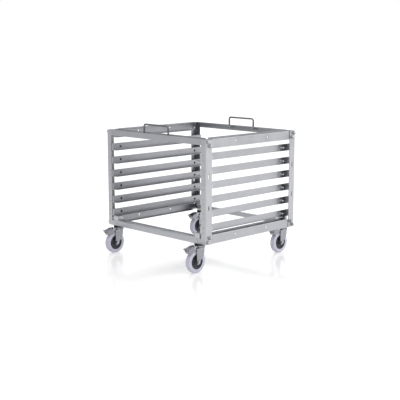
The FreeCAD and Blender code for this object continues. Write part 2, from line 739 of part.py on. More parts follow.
# --- handles ---------------------------------------------------------------------------------------
def handle(label, sy):
    """Bar handle: a bent rod with both legs through the end rail's flange."""
    body = new_node(label, "0", f"frame_y + {sy} * (end_y - handle_in)", "castor_tall + frame_tall")
    path = new_sketch(body, "Path", "XZ")
    foot = "-(sheet_t + handle_tail)"
    grip = "handle_rise"
    half = "handle_span / 2"
    bend_r = number("handle_bend")
    foot_z = number(foot)
    grip_z = number(grip)
    half_x = number(half)
    left_corner = Part.Circle(vec(bend_r - half_x, grip_z - bend_r, 0), vec(0, 0, 1), bend_r)
    right_corner = Part.Circle(vec(half_x - bend_r, grip_z - bend_r, 0), vec(0, 0, 1), bend_r)
    left, left_bend, bar, right_bend, right = [
        path.addGeometry(curve, False) for curve in (
            Part.LineSegment(vec(-half_x, foot_z, 0), vec(-half_x, grip_z - bend_r, 0)),
            Part.ArcOfCircle(left_corner, math.pi / 2, math.pi),
            Part.LineSegment(vec(bend_r - half_x, grip_z, 0), vec(half_x - bend_r, grip_z, 0)),
            Part.ArcOfCircle(right_corner, 0, math.pi / 2),
            Part.LineSegment(vec(half_x, grip_z - bend_r, 0), vec(half_x, foot_z, 0)),
        )
    ]
    for a, a_end, b, b_end in ((left, 2, left_bend, 2), (left_bend, 1, bar, 1),
                               (bar, 2, right_bend, 2), (right_bend, 1, right, 1)):
        path.addConstraint(Sketcher.Constraint("Tangent", a, a_end, b, b_end))
    path.addConstraint(Sketcher.Constraint("Vertical", left))
    path.addConstraint(Sketcher.Constraint("Vertical", right))
    path.addConstraint(Sketcher.Constraint("Horizontal", bar))
    path.addConstraint(Sketcher.Constraint("Equal", left_bend, right_bend))
    hold(path, Sketcher.Constraint("Radius", left_bend, bend_r), "handle_bend")
    pin_point(path, left, 1, f"-{half}", foot)
    pin_point(path, right, 2, half, foot)
    hold(path, Sketcher.Constraint("DistanceY", -1, 1, bar, 1, grip_z), grip)
    rod = new_sketch(body, "Rod", "XY", foot)
    circle(rod, f"-{half}", "0", "handle_d / 2")
    sweep = body.newObject("PartDesign::AdditivePipe", "Sweep")
    sweep.Profile = rod
    sweep.Spine = path


# --- castors ---------------------------------------------------------------------------------------
def socket():
    """Square tube that takes a castor's stem; its screw hole faces the end rail."""
    body = new_body("socket_template")
    section = new_sketch(body, "Section", "XY")
    half = "socket_w / 2"
    inner = "(socket_w / 2 - socket_wall)"
    rectangle(section, f"-{half}", f"-{half}", half, half)
    rectangle(section, f"-{inner}", f"-{inner}", inner, inner)
    pad(body, section, "socket_tall", both_ways=False)
    hole = new_sketch(body, "ScrewHole", "XZ", f"{half} - socket_wall / 2")
    circle(hole, "0", "screw_up", "screw_d / 2 + hole_play")
    cut(body, hole, "2 * socket_wall")
    return body


def castor_head():
    """Fixed half of a castor: stem, collar, upper race and riveted kingpin, floor at zero."""
    body = new_body("head_template")
    section = new_sketch(body, "Section", "XZ")
    rivet_top = "(crown_top - fork_wall - ball_play)"
    polygon(section, [
        ("0", f"{rivet_top} - kingpin_head"),
        ("kingpin_head_d / 2", f"{rivet_top} - kingpin_head"),
        ("kingpin_head_d / 2", rivet_top),
        ("kingpin_d / 2", rivet_top),
        ("kingpin_d / 2", "race_high"),
        ("race_r - race_rim", "race_high"),
        ("race_r - race_rim", "race_high - race_skirt"),
        ("race_r", "race_high - race_skirt"),
        ("race_r", "race_high + race_plate"),
        ("collar_d / 2", "race_high + race_plate"),
        ("collar_d / 2", "castor_tall"),
        ("0", "castor_tall"),
    ])
    revolve(body, section, "V_Axis")
    round_circle(body, "race_plate / 2", "race_r", "race_high + race_plate")
    stem = new_sketch(body, "Stem", "XY", "castor_tall")
    rectangle(stem, "-stem_w / 2", "-stem_w / 2", "stem_w / 2", "stem_w / 2")
    pad(body, stem, "stem_tall", both_ways=False)
    return body


def fork(label, x, y):
    """Swivelling fork: two cheeks, a crown with the lower race and the lugs of the pedal."""
    body = new_node(label, x, y)
    sides = new_sketch(body, "Cheeks", "YZ")
    polygon(sides, [
        ("-fork_front", "crown_top"),
        ("-(trail + cheek_r)", "axle_up - cheek_drop"),
        ("-(trail - cheek_r)", "axle_up - cheek_drop"),
        ("fork_back - cheek_waist_in", "crown_top - cheek_waist"),
        ("fork_back - cheek_neck_in", "crown_top - cheek_neck"),
        ("fork_back", "crown_top"),
    ])
    pad(body, sides, "2 * fork_out")
    ends = new_sketch(body, "RoundEnds", "YZ")
    circle(ends, "-trail", "axle_up - cheek_drop", "cheek_r")
    pad(body, ends, "2 * fork_out")
    room = new_sketch(body, "WheelRoom", "YZ")
    rectangle(room, "-2 * race_r - fork_front", "0", "2 * race_r", "crown_top - fork_wall")
    cut(body, room, "2 * fork_in")
    round_edges(body, "bend + fork_wall", "y", [
        {"x": f"{step} * fork_out", "z": "crown_top"} for step in (-1, 1)
    ])
    round_edges(body, "bend", "y", [
        {"x": f"{step} * fork_in", "z": "crown_top - fork_wall"} for step in (-1, 1)
    ])
    lugs = new_sketch(body, "Lugs", "YZ")
    rectangle(lugs, "-lug_end", "crown_top - fork_wall", "-(race_r + lug_gap)", "crown_top + lug_tall")
    pad(body, lugs, "2 * lug_out")
    between = new_sketch(body, "BetweenLugs", "YZ")
    rectangle(between, "-(lug_end + 1)", "crown_top", "-(race_r + 1)", "crown_top + lug_tall + 1")
    cut(body, between, "2 * (lug_out - fork_wall)")
    round_edges(body, "pivot_up + pivot_d / 4", "x", [{"y": "-lug_end", "z": "crown_top + lug_tall"}])
    race = new_sketch(body, "Race", "XY", "crown_top - fork_wall")
    circle(race, "0", "0", "race_r")
    pad(body, race, "fork_wall + race_boss", both_ways=False)
    pin_hole = new_sketch(body, "KingpinHole", "XY", "crown_top")
    circle(pin_hole, "0", "0", "kingpin_d / 2 + thread_play")
    cut(body, pin_hole, "4 * fork_wall + 4 * race_boss")
    holes = new_sketch(body, "PinHoles", "YZ")
    circle(holes, "-trail", "axle_up", "axle_d / 2 + thread_play")
    circle(holes, "-pivot_in", "pivot_z", "pivot_d / 2 + thread_play")
    cut(body, holes, "3 * fork_out")


def wheel_core(label, x, y):
    """Wheel centre: hub, disc and rim turned about the axle."""
    body = new_node(label, x, y, "axle_up")
    section = new_sketch(body, "Section", "XZ")
    hub_half = "(fork_in - hub_play)"
    steps = [
        (hub_half, "sleeve_d / 2 + thread_play"),
        (hub_half, "hub_d / 2"),
        ("disc_t / 2", "hub_d / 2"),
        ("disc_t / 2", "tyre_in - rim_t"),
        ("rim_w / 2", "tyre_in - rim_t"),
        ("rim_w / 2", "tyre_in"),
    ]
    polygon(section, steps + [(f"-{width}", radius) for width, radius in reversed(steps)])
    revolve(body, section, "H_Axis")


def tyre(label, x, y):
    """Solid tyre on the rim, its tread rounded at both edges."""
    body = new_node(label, x, y, "axle_up")
    section = new_sketch(body, "Section", "XZ")
    rectangle(section, "-tread_w / 2", "tyre_in", "tread_w / 2", "wheel_d / 2")
    revolve(body, section, "H_Axis")
    doc.recompute()
    base = body.Tip
    names = []
    for i, edge in enumerate(base.Shape.Edges, 1):
        if isinstance(edge.Curve, Part.Circle) and near(edge.Curve.Radius, number("wheel_d / 2")):
            names.append(f"Edge{i}")
    shoulders = body.newObject("PartDesign::Fillet", "Shoulders")
    shoulders.Base = (base, names)
    bind(shoulders, "Radius", "tyre_round")


def foot_top(distance):
    """Height of the pedal's sloping top at a distance in front of its pivot."""
    return f"pedal_eye - foot_slope * ({distance})"


def pedal(label, x, y):
    """Brake pedal about its own pivot: two side plates, a foot plate with a lip and the shoe."""
    body = new_node(label, x, f"{y} - pivot_in", "pivot_z")
    plates = new_sketch(body, "SidePlates", "YZ")
    polygon(plates, [
        ("pedal_eye", "0"),
        ("pedal_eye", "-wing_heel"),
        ("-belly_in", "-belly_low"),
        ("-wing_long", "-wing_nose"),
        ("-wing_long", foot_top("wing_long")),
        ("0", foot_top("0")),
    ])
    pad(body, plates, "2 * pedal_out")
    round_edges(body, "wing_round", "x", [
        {"y": "-belly_in", "z": "-belly_low"},
        {"y": "-wing_long", "z": "-wing_nose"},
    ])
    eyes = new_sketch(body, "Eyes", "YZ")
    circle(eyes, "0", "0", "pedal_eye")
    pad(body, eyes, "2 * pedal_out")
    room = new_sketch(body, "Room", "YZ")
    polygon(room, [
        ("pedal_eye + 1", "-2 * belly_low"),
        ("pedal_eye + 1", "pedal_eye + 1"),
        ("-foot_start", "pedal_eye + 1"),
        ("-foot_start", foot_top("foot_start") + " - pedal_wall"),
        ("-foot_long", foot_top("foot_long") + " - pedal_wall"),
        ("-foot_long", "-2 * belly_low"),
    ])
    cut(body, room, "2 * pedal_in")
    lip = new_sketch(body, "Lip", "YZ")
    lip_start = "wing_long - pedal_wall"
    polygon(lip, [
        (f"-({lip_start})", foot_top(lip_start) + " - pedal_wall"),
        ("-foot_long", foot_top("foot_long") + " - pedal_wall"),
        ("-foot_long", foot_top("foot_long")),
        (f"-({lip_start})", foot_top(lip_start)),
    ])
    pad(body, lip, "foot_w")
    round_edges(body, "foot_round", "z", [
        {"x": f"{step} * foot_w / 2", "y": "-foot_long"} for step in (-1, 1)
    ])
    shoe = new_sketch(body, "Shoe", "YZ")
    rectangle(shoe, "-shoe_far", "-shoe_low", "-shoe_near", "-shoe_top")
    pad(body, shoe, "2 * pedal_out")
    # the wheel as the pressed pedal sees it leaves the shoe its hollow face
    wheel_y, wheel_z = "(pivot_in - trail)", "(axle_up - pivot_z)"
    turn_cos, turn_sin = "cos(press * 1deg)", "sin(press * 1deg)"
    tread = new_sketch(body, "Tread", "YZ")
    circle(tread, f"{wheel_y} * {turn_cos} + {wheel_z} * {turn_sin}",
           f"{wheel_z} * {turn_cos} - {wheel_y} * {turn_sin}", "wheel_d / 2 + brake_play")
    cut(body, tread, "2 * pedal_in")
    holes = new_sketch(body, "PinHole", "YZ")
    circle(holes, "0", "0", "pivot_d / 2 + thread_play")
    cut(body, holes, "3 * pedal_out")


def sleeve():
    """Spacer tube between the fork's cheeks, lying along Z."""
    body = new_body("sleeve_template")
    stud(body, "sleeve_d / 2", "2 * fork_in", "-fork_in")
    bore(body, "axle_d / 2 + thread_play", "2 * fork_in", "-fork_in")
    return body


def axle_bolt():
    body = new_body("axle_bolt_template")
    hexagon(body, "axle_af", "axle_head", "-(fork_out + axle_head)")
    stud(body, "axle_d / 2", "2 * fork_out + axle_head + 1", "-fork_out")
    return body


def axle_nut():
    body = new_body("axle_nut_template")
    hexagon(body, "axle_af", "axle_head", "fork_out")
    bore(body, "axle_d / 2 + thread_play", "axle_head", "fork_out")
    return body


def pedal_pin():
    """Pin through lugs and pedal, upset at both ends."""
    body = new_body("pedal_pin_template")
    stud(body, "pivot_d / 2", "2 * pedal_out", "-pedal_out")
    stud(body, "pivot_head_d / 2", "pivot_head", "pedal_out")
    stud(body, "pivot_head_d / 2", "pivot_head", "-(pedal_out + pivot_head)")
    return body


# --- build -----------------------------------------------------------------------------------------
for end, sy in ENDS:
    for side, sx in SIDES:
        post(f"post_{end}_{side}", sx, sy)
for end, sy in ENDS:
    top_end_rail(f"end_rail_top_{end}", sy)
    bottom_end_rail(f"end_rail_bottom_{end}", sy)
for side, sx in SIDES:
    side_rail(f"side_rail_top_{side}", sx, "frame_tall", CORNER_BOLTS[:2])
    side_rail(f"side_rail_bottom_{side}", sx, "side_web", CORNER_BOLTS[2:])

for tier in TIERS:
    for side, sx in SIDES:
        runner(f"runner_{tier}_{side}", sx, tier)

for end, sy in ENDS:
    for side, sx in SIDES:
        piece = bracket(sx, sy)
        group(f"brackets_{end}_{side}", [
            (piece, f"{sx} * side_x", f"frame_y + {sy} * end_y",
             f"castor_tall + {tier} * tier_pitch", UPRIGHT)
            for tier in TIERS
        ])

corner_pieces = [
    hex_bolt("corner_bolt_template", "corner_af", "corner_head", "corner_d",
             "corner_grip + washer_t + corner_cap * reach_share"),
    washer("corner_washer_template", "corner_washer", "corner_d", "washer_t", "corner_grip"),
    cap_nut("corner_cap_template", "corner_af", "corner_d", "corner_cap", "(corner_grip + washer_t)"),
]
group("corner_bolts", [
    (piece, f"{sx} * (side_x - corner_grip)", f"frame_y + {sy} * (end_y - {inset})",
     f"castor_tall + {level}", OUT_SIDE[sx])
    for end, sy in ENDS for side, sx in SIDES for inset, level in CORNER_BOLTS
    for piece in corner_pieces
])

runner_pieces = [
    low_bolt("runner_bolt_template", "runner_head_d", "runner_head", "runner_bolt_d",
             "runner_grip + washer_t + runner_cap * reach_share"),
    washer("runner_washer_template", "runner_washer", "runner_bolt_d", "washer_t", "runner_grip"),
    cap_nut("runner_cap_template", "runner_af", "runner_bolt_d", "runner_cap", "(runner_grip + washer_t)"),
]
group("runner_bolts", [
    (piece, f"{sx} * (side_x - runner_in)", f"frame_y + {sy} * (end_y - runner_bolt_in)",
     f"castor_tall + {tier} * tier_pitch", OUT_SIDE[sx])
    for end, sy in ENDS for side, sx in SIDES for tier in TIERS for piece in runner_pieces
])

bracket_rivet = rivet("rivet_template")
group("bracket_rivets", [
    (bracket_rivet, f"{sx} * (side_x - rivet_in)", f"frame_y + {sy} * end_y",
     f"castor_tall + {tier} * tier_pitch + {step} * rivet_apart / 2", OUT_END[sy])
    for end, sy in ENDS for side, sx in SIDES for tier in TIERS for step in (-1, 1)
])

for end, sy in ENDS:
    handle(f"handle_{end}", sy)
handle_pieces = [
    washer("handle_collar_template", "handle_washer", "handle_d", "washer_t", "0"),
    washer("handle_washer_template", "handle_washer", "handle_d", "washer_t", "-(sheet_t + washer_t)"),
]
handle_nut = new_body("handle_nut_template")
hexagon(handle_nut, "handle_nut_af", "handle_nut", "-(sheet_t + washer_t + handle_nut)")
bore(handle_nut, "handle_d / 2 + thread_play", "handle_nut", "-(sheet_t + washer_t + handle_nut)")
handle_pieces.append(handle_nut)
group("handle_fixings", [
    (piece, f"{step} * handle_span / 2", f"frame_y + {sy} * (end_y - handle_in)",
     "castor_tall + frame_tall", UPRIGHT)
    for end, sy in ENDS for step in (-1, 1) for piece in handle_pieces
])

# where the castors stand: name, X, Y, and the end that they are nearer to
CASTORS = [(f"{end}_{side}", f"{sx} * castor_x", f"frame_y + {sy} * castor_y", sy)
           for end, sy in ENDS for side, sx in SIDES]

tube = socket()
group("castor_sockets", [(tube, x, y, "castor_tall", FACING_END[sy]) for name, x, y, sy in CASTORS])

clamp_screw = low_bolt("clamp_screw_template", "screw_head_d", "screw_head", "screw_d",
                       "sheet_t + socket_wall")
INTO_END = {-1: OUT_END[1], 1: OUT_END[-1]}
group("socket_screws", [
    (clamp_screw, x, f"frame_y + {sy} * end_y", "castor_tall + screw_up", INTO_END[sy])
    for name, x, y, sy in CASTORS
])

head = castor_head()
group("castor_heads", [(head, x, y, "0", UPRIGHT) for name, x, y, sy in CASTORS])

ball = doc.addObject("Part::Sphere", "ball_template")
bind(ball, "Radius", "ball_d / 2")
BALLS = range(int(number("ball_count")))
group("swivel_balls", [
    (ball, f"{x} + ball_ring * cos({i} * 360deg / ball_count)",
     f"{y} + ball_ring * sin({i} * 360deg / ball_count)", "race_low + ball_play + ball_d / 2", UPRIGHT)
    for name, x, y, sy in CASTORS for i in BALLS
])

ALONG_X = turned(0, 1, 0, 90)
axle_pieces = [axle_bolt(), sleeve(), axle_nut()]
pin = pedal_pin()
for name, x, y, sy in CASTORS:
    fork(f"castor_{name}_fork", x, y)
    axle_copies = [(piece, x, f"{y} - trail", "axle_up", ALONG_X) for piece in axle_pieces]
    axle_copies.append((pin, x, f"{y} - pivot_in", "pivot_z", ALONG_X))
    group(f"castor_{name}_axle", axle_copies)
    wheel_core(f"castor_{name}_wheel", x, f"{y} - trail")
    tyre(f"castor_{name}_tyre", x, f"{y} - trail")
    pedal(f"castor_{name}_pedal", x, y)

# --- check and write -------------------------------------------------------------------------------
doc.recompute()
for thing in doc.Objects:
    if "Invalid" in thing.State or "Error" in thing.State:
        raise RuntimeError(f"{thing.Label} failed: {thing.State}")
    base = getattr(thing, "BaseFeature", None)
    cutting = thing.TypeId in ("PartDesign::Pocket", "PartDesign::SubtractiveCylinder")
    if cutting and thing.Shape.Volume >= base.Shape.Volume - 0.001:
        raise RuntimeError(f"{thing.Label} cuts nothing")
    if thing.TypeId == "Sketcher::SketchObject" and not thing.FullyConstrained:
        raise RuntimeError(f"{thing.Label} is not fully constrained")

os.makedirs("parts", exist_ok=True)
for node in sub_parts:
    if node.Shape.isNull() or not node.Shape.isValid() or not node.Shape.Solids:
        raise RuntimeError(f"{node.Label} has no sound shape")
for node in sub_parts:
    node.Shape.exportStep(f"parts/{node.Label}.step")
print(len(sub_parts), "sub-parts written")
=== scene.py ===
# %% [markdown]
# # A low sheet pan rack on castors
#
# The rack is an open frame of folded stainless sheet. Six pairs of angle runners hold baking
# trays, two bent rods serve as handles, and four castors with brake pedals carry it. The
# construction model is already at its real size, so the first step only loads it. Everything made
# here takes its place from the boxes of those construction nodes, in metres.

# %% Load the frame
import bmesh
import bpy
import json
import math
from mathutils import Matrix, Vector


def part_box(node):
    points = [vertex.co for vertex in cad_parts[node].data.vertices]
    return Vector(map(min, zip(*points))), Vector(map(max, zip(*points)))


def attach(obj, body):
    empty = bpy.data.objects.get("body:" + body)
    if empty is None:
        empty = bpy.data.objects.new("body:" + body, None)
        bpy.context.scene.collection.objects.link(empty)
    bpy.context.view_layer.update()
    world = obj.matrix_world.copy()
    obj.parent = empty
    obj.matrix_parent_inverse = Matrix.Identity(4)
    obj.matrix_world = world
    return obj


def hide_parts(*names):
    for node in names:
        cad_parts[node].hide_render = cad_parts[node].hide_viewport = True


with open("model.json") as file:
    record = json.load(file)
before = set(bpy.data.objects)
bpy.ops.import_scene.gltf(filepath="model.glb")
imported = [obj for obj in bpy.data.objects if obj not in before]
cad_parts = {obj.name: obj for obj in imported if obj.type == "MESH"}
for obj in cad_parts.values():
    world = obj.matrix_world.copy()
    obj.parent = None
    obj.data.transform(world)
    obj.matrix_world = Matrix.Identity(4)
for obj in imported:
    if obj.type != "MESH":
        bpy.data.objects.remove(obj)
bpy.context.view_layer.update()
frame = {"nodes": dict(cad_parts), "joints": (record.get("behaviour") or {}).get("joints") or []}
nodes = frame["nodes"]
MM = 0.001
ENDS = (("front", -1), ("back", 1))
SIDES = (("left", -1), ("right", 1))
CASTORS = [f"{end}_{side}" for end, sy in ENDS for side, sx in SIDES]
left_runners = [name for name in nodes if name.startswith("runner_") and name.endswith("_left")]
TIERS = range(1, 1 + len(left_runners))
print(len(nodes), "construction nodes,", len(TIERS), "tiers")

# %% [markdown]
# ## Colours and nodes
#
# A colour given as a hex code is an sRGB value, but a shader works in linear light. One function
# does that change, so every hex code below can be compared with a paint chart. A second function
# adds a node with its settings and links, which keeps each material short enough to read: an input
# is given as a plain value, or as the node or output that feeds it.

# %% Colour and node helpers
# A Mix node has inputs and an output for each kind of data; these are its colour ones.
COLOUR_A, COLOUR_B, COLOUR_MIX = 6, 7, 2
WHITE = (1, 1, 1, 1)


def linear(code):
    """An sRGB hex code as linear red, green, blue and alpha."""
    channels = [int(code[i:i + 2], 16) / 255 for i in (1, 3, 5)]
    return [c / 12.92 if c <= 0.04045 else ((c + 0.055) / 1.055) ** 2.4 for c in channels] + [1.0]


def add(tree, kind, inputs=None, **settings):
    """A node with its settings; an input is a value, or the node or output that feeds it."""
    node = tree.nodes.new(kind)
    for name, value in settings.items():
        setattr(node, name, value)
    for name, value in (inputs or {}).items():
        source = value.outputs[0] if isinstance(value, bpy.types.Node) else value
        if isinstance(source, bpy.types.NodeSocket):
            tree.links.new(source, node.inputs[name])
        else:
            node.inputs[name].default_value = source
    return node


print("mid grey #BCBCBC is", round(linear("#BCBCBC")[0], 3), "in linear light")

# %% [markdown]
# ## How every material starts and ends
#
# All finishes here are uneven in the same few ways: two close colours blended by a pattern, a
# roughness that changes with it, and a shallow bump. That could be wired anew in each material,
# but two functions keep it in one place. The patterns read Object coordinates, which are metres
# on the finished piece, so a pattern's scale is one over its real size. What is the same all over
# a surface is set on the shader itself.
#
# A clean metal whitens at a glancing angle. The fine ridges and marks of a worked one shade each
# other there, so the shader's Specular Tint, which colours only a metal's glancing reflections,
# is a grey.

# %% Start and end of a material
METAL_EDGE = 0.35  # how much of its glancing reflection a metal keeps


def start_material(name):
    """A material, its empty tree and the Object coordinates in it."""
    material = bpy.data.materials.new(name)
    material.use_nodes = True
    tree = material.node_tree
    tree.nodes.clear()
    return material, tree, add(tree, "ShaderNodeTexCoord").outputs["Object"]


def end_material(tree, tone, colours, roughness, bump, even):
    """Blend two colours by a tone and shade them; bump and even are inputs of their nodes."""
    colour = add(tree, "ShaderNodeMix", {0: tone, COLOUR_A: colours[0], COLOUR_B: colours[1]},
                 data_type="RGBA").outputs[COLOUR_MIX]
    shader = add(tree, "ShaderNodeBsdfPrincipled", {
        "Base Color": colour, "Roughness": roughness, "Normal": add(tree, "ShaderNodeBump", bump)}
        | even)
    add(tree, "ShaderNodeOutputMaterial", {"Surface": shader})


def metal(edge=METAL_EDGE):
    """The even values of a metal, with a grey for its glancing reflections."""
    return {"Metallic": 1.0, "Specular Tint": (edge, edge, edge, 1)}


print("a metal's even values:", metal())

# %% [markdown]
# ## Ground stainless sheet
#
# The frame, rails and runners are 304 stainless sheet with a fine ground finish: an abrasive belt
# has left hair-thin lines along each strip, which blur a reflection across them. The lines are
# about 0.1 mm apart on the real sheet, too fine to show, so they are drawn 0.8 mm apart and very
# shallow. An anisotropic shader could blur the reflection instead, but it needs a direction on
# every face, and drawn lines need only a place. A second, wide noise is the haze that wiping
# leaves. The grain runs along a different axis on posts, end rails and side rails, so the
# function takes that axis.
#
# The faces inside a fold are painted darker, as painted shade in the fold. They could be picked
# face by face, but they are simply whatever lies deeper than 1 mm below the part's outer faces,
# which Compare nodes find from the Object coordinates.

# %% Ground stainless
GRAIN_WIDTH, GRAIN_LENGTH, HAZE_WIDTH = 0.8 * MM, 90 * MM, 70 * MM
GROUND_DEPTH = 0.004 * MM
WIPED, HAZY = 0.3, 0.36  # roughness


def within(tree, place, limits):
    """1 where each named axis is nearer to its centre than its reach, else 0."""
    axes = add(tree, "ShaderNodeSeparateXYZ", {"Vector": place}).outputs
    inside = None
    for axis, (centre, reach) in limits.items():
        near = add(tree, "ShaderNodeMath", {0: axes[axis], 1: centre, 2: reach},
                   operation="COMPARE")
        inside = near if inside is None else add(
            tree, "ShaderNodeMath", {0: near, 1: inside}, operation="MULTIPLY")
    return inside


def stainless(name, grain, ground, fold_shade=None, limits=None, edge=METAL_EDGE):
    """Stainless with ground lines along one axis, and two darker greys of painted shade within
    limits.
    """
    material, tree, place = start_material(name)
    stretch = [1 / GRAIN_LENGTH if axis == grain else 1 / GRAIN_WIDTH for axis in "XYZ"]
    along = add(tree, "ShaderNodeMapping", {"Vector": place, "Scale": stretch})
    lines = add(tree, "ShaderNodeTexNoise", {"Vector": along, "Scale": 1.0, "Detail": 3.0})
    haze = add(tree, "ShaderNodeTexNoise",
               {"Vector": place, "Scale": 1 / HAZE_WIDTH, "Detail": 4.0})
    both = add(tree, "ShaderNodeMath", {0: lines, 1: haze}, operation="MULTIPLY")
    tone = add(tree, "ShaderNodeMapRange", {"Value": both, "From Min": 0.12, "From Max": 0.4})
    colours = [linear(code) for code in ground]
    # painted shade: inside the limits each colour turns to its darker fold grey
    if limits:
        inside = within(tree, place, limits)
        colours = [add(tree, "ShaderNodeMix", {0: inside, COLOUR_A: outer, COLOUR_B: linear(code)},
                       data_type="RGBA").outputs[COLOUR_MIX] for outer, code in zip(colours, fold_shade)]
    roughness = add(tree, "ShaderNodeMapRange", {
        "Value": haze, "From Min": 0.3, "From Max": 0.7, "To Min": WIPED, "To Max": HAZY})
    bump = {"Height": lines, "Distance": GROUND_DEPTH, "Strength": 0.5}
    end_material(tree, tone, colours, roughness, bump, metal(edge))
    return material


print("grain", GRAIN_WIDTH / MM, "mm wide and", GRAIN_LENGTH / MM, "mm long")

# %% [markdown]
# ## The sheet's colours
#
# All parts are the same steel, but a strip ground across, along or upright catches the room's light
# differently, so each kind of part is painted its own pair of close greys: lit and shaded copies of
# one steel. Inside their folds the posts, of thicker sheet, are painted darker than the rails, as
# shade. The lower end rails are painted a little lighter than the top ones and keep more of their
# glancing reflection, so that their flat upper faces don't darken.

# %% Colours of the ground stainless
FOLD_SKIN = 1 * MM
LOW_RAIL_EDGE = 0.85
# painted shade: the darker greys inside the folds, a little darker still in the posts
FOLD_SHADE, POST_FOLD_SHADE = ("#939499", "#9D9EA2"), ("#85868A", "#8F9094")
rack_middle = (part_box("post_front_left")[0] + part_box("post_back_right")[1]) / 2


def inside_of(node, *axes):
    """For each axis, its centre and how far the inside of a pair of folded parts reaches."""
    low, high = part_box(node)
    limits = {}
    for axis in axes:
        centre = rack_middle[axis]
        outermost = max(abs(low[axis] - centre), abs(high[axis] - centre))
        limits[axis] = (centre, outermost - FOLD_SKIN)
    return limits


# painted light and shade: each kind of part gets its own lighter or darker pair of greys
post_steel = stainless("ground_stainless_upright", "Z", ("#ABACAF", "#B4B5B9"),
                       POST_FOLD_SHADE, inside_of("post_back_right", 0, 1))
end_steel = stainless("ground_stainless_across", "X", ("#A0A2A6", "#A9ABB0"))
low_end_steel = stainless("ground_stainless_low_across", "X", ("#A3A5A9", "#ACAEB3"),
                          edge=LOW_RAIL_EDGE)
side_steel = stainless("ground_stainless_lengthwise", "Y", ("#A4A5A9", "#AEAFB3"),
                       FOLD_SHADE, inside_of("side_rail_top_right", 0))
runner_steel = stainless("ground_stainless_runners", "Y", ("#A3A4A8", "#ADAEB2"),
                         FOLD_SHADE, inside_of("runner_1_right", 0))
bracket_steel = stainless("ground_stainless_brackets", "Z", ("#B2B3B6", "#BCBDC1"))
print("rack's middle at", [round(v, 3) for v in rack_middle])

# %% [markdown]
# ## Polished stainless
#
# The handle rods, cap nuts and washers are bright drawn or polished parts. Nothing is ground into
# them, so only faint wiping marks break the reflection. A low, even roughness would make a small
# dome look like a perfect mirror, so one noise of a few millimetres changes colour and roughness
# a little.
# The nuts have almost no glancing reflection, which gives their facets dark rims. The runner bolts'
# heads are a dark grey, and the same near-black is painted on the swivel balls as the shade of
# their race. The rivets are plain aluminium, duller than steel.

# %% Polished metals
NUT_EDGE = 0.05


def polished(name, colours, smooth, rough, mark, edge=METAL_EDGE):
    """Bright metal with faint marks of one size."""
    material, tree, place = start_material(name)
    marks = add(tree, "ShaderNodeTexNoise",
                {"Vector": place, "Scale": 1 / mark, "Detail": 5.0, "Roughness": 0.6})
    tone = add(tree, "ShaderNodeMapRange", {"Value": marks, "From Min": 0.3, "From Max": 0.7})
    roughness = add(tree, "ShaderNodeMapRange", {
        "Value": marks, "From Min": 0.35, "From Max": 0.7, "To Min": smooth, "To Max": rough})
    bump = {"Height": marks, "Distance": 0.02 * MM, "Strength": 0.3}
    end_material(tree, tone, [linear(code) for code in colours], roughness, bump, metal(edge))
    return material


bright_steel = polished("polished_stainless", ("#66676A", "#747578"), 0.1, 0.2, 6 * MM)
fastener_steel = polished("bright_stainless_fasteners", ("#A6A7AB", "#C2C3C7"), 0.1, 0.2, 3 * MM,
                          NUT_EDGE)
# a dark grey for the runner bolts' heads; on the swivel balls it is painted shade
dark_heads_and_race_shade = polished("dark_stainless_heads_and_race_shade", ("#2E2E31", "#414145"), 0.3, 0.42, 3 * MM)
rivet_metal = polished("rivet_aluminium", ("#9A9B9F", "#AEAFB3"), 0.25, 0.4, 2 * MM)
print("polished metals made")

# %% [markdown]
# ## Zinc plate
#
# The castor forks, races and pedals are pressed mild steel with bright zinc plate. Zinc grows in
# crystals, so its tone changes in small patches; a Voronoi texture gives each patch its own value.
# Electroplate is fine-grained, so the two colours are close and the patches, a few millimetres
# across, stay faint. Handling dulls the plate, which the wider noise adds.

# %% Zinc-plated steel
SPANGLE, DULL_PATCH = 3.5 * MM, 12 * MM
PLATE_SMOOTH, PLATE_DULL = 0.2, 0.34  # roughness


def zinc_plate(name, colours):
    """Bright zinc on pressed steel."""
    material, tree, place = start_material(name)
    patches = add(tree, "ShaderNodeTexVoronoi", {"Vector": place, "Scale": 1 / SPANGLE})
    patch_tone = add(tree, "ShaderNodeSeparateColor", {"Color": patches.outputs["Color"]})
    dulling = add(tree, "ShaderNodeTexNoise",
                  {"Vector": place, "Scale": 1 / DULL_PATCH, "Detail": 4.0})
    both = add(tree, "ShaderNodeMath", {0: patch_tone, 1: dulling}, operation="MULTIPLY")
    tone = add(tree, "ShaderNodeMapRange", {"Value": both, "From Min": 0.0, "From Max": 0.55})
    roughness = add(tree, "ShaderNodeMapRange", {
        "Value": dulling, "From Min": 0.3, "From Max": 0.7,
        "To Min": PLATE_SMOOTH, "To Max": PLATE_DULL})
    bump = {"Height": dulling, "Distance": 0.05 * MM, "Strength": 0.3}
    end_material(tree, tone, [linear(code) for code in colours], roughness, bump, metal())
    return material


fork_zinc = zinc_plate("zinc_plated_fork", ("#94949B", "#9D9DA4"))
pedal_zinc = zinc_plate("zinc_plated_pedal", ("#8B8B92", "#95959C"))
print("zinc plate made")

# %% [markdown]
# ## Tyre, wheel centre and dust seal
#
# The tyre is a grey non-marking elastomer, moulded with a fine matt skin and scuffed in patches
# where it rolls. The wheel centre is dark moulded nylon, smoother than the tyre. The dust seal is
# the same nylon in black, a ring that fills the gap below the frame and so also paints in the shade
# there. All are dielectrics, so their colour comes from the base colour and only a weak highlight
# from the surface.

# %% Elastomer and nylon
MOULDED_SHINE = 0.35


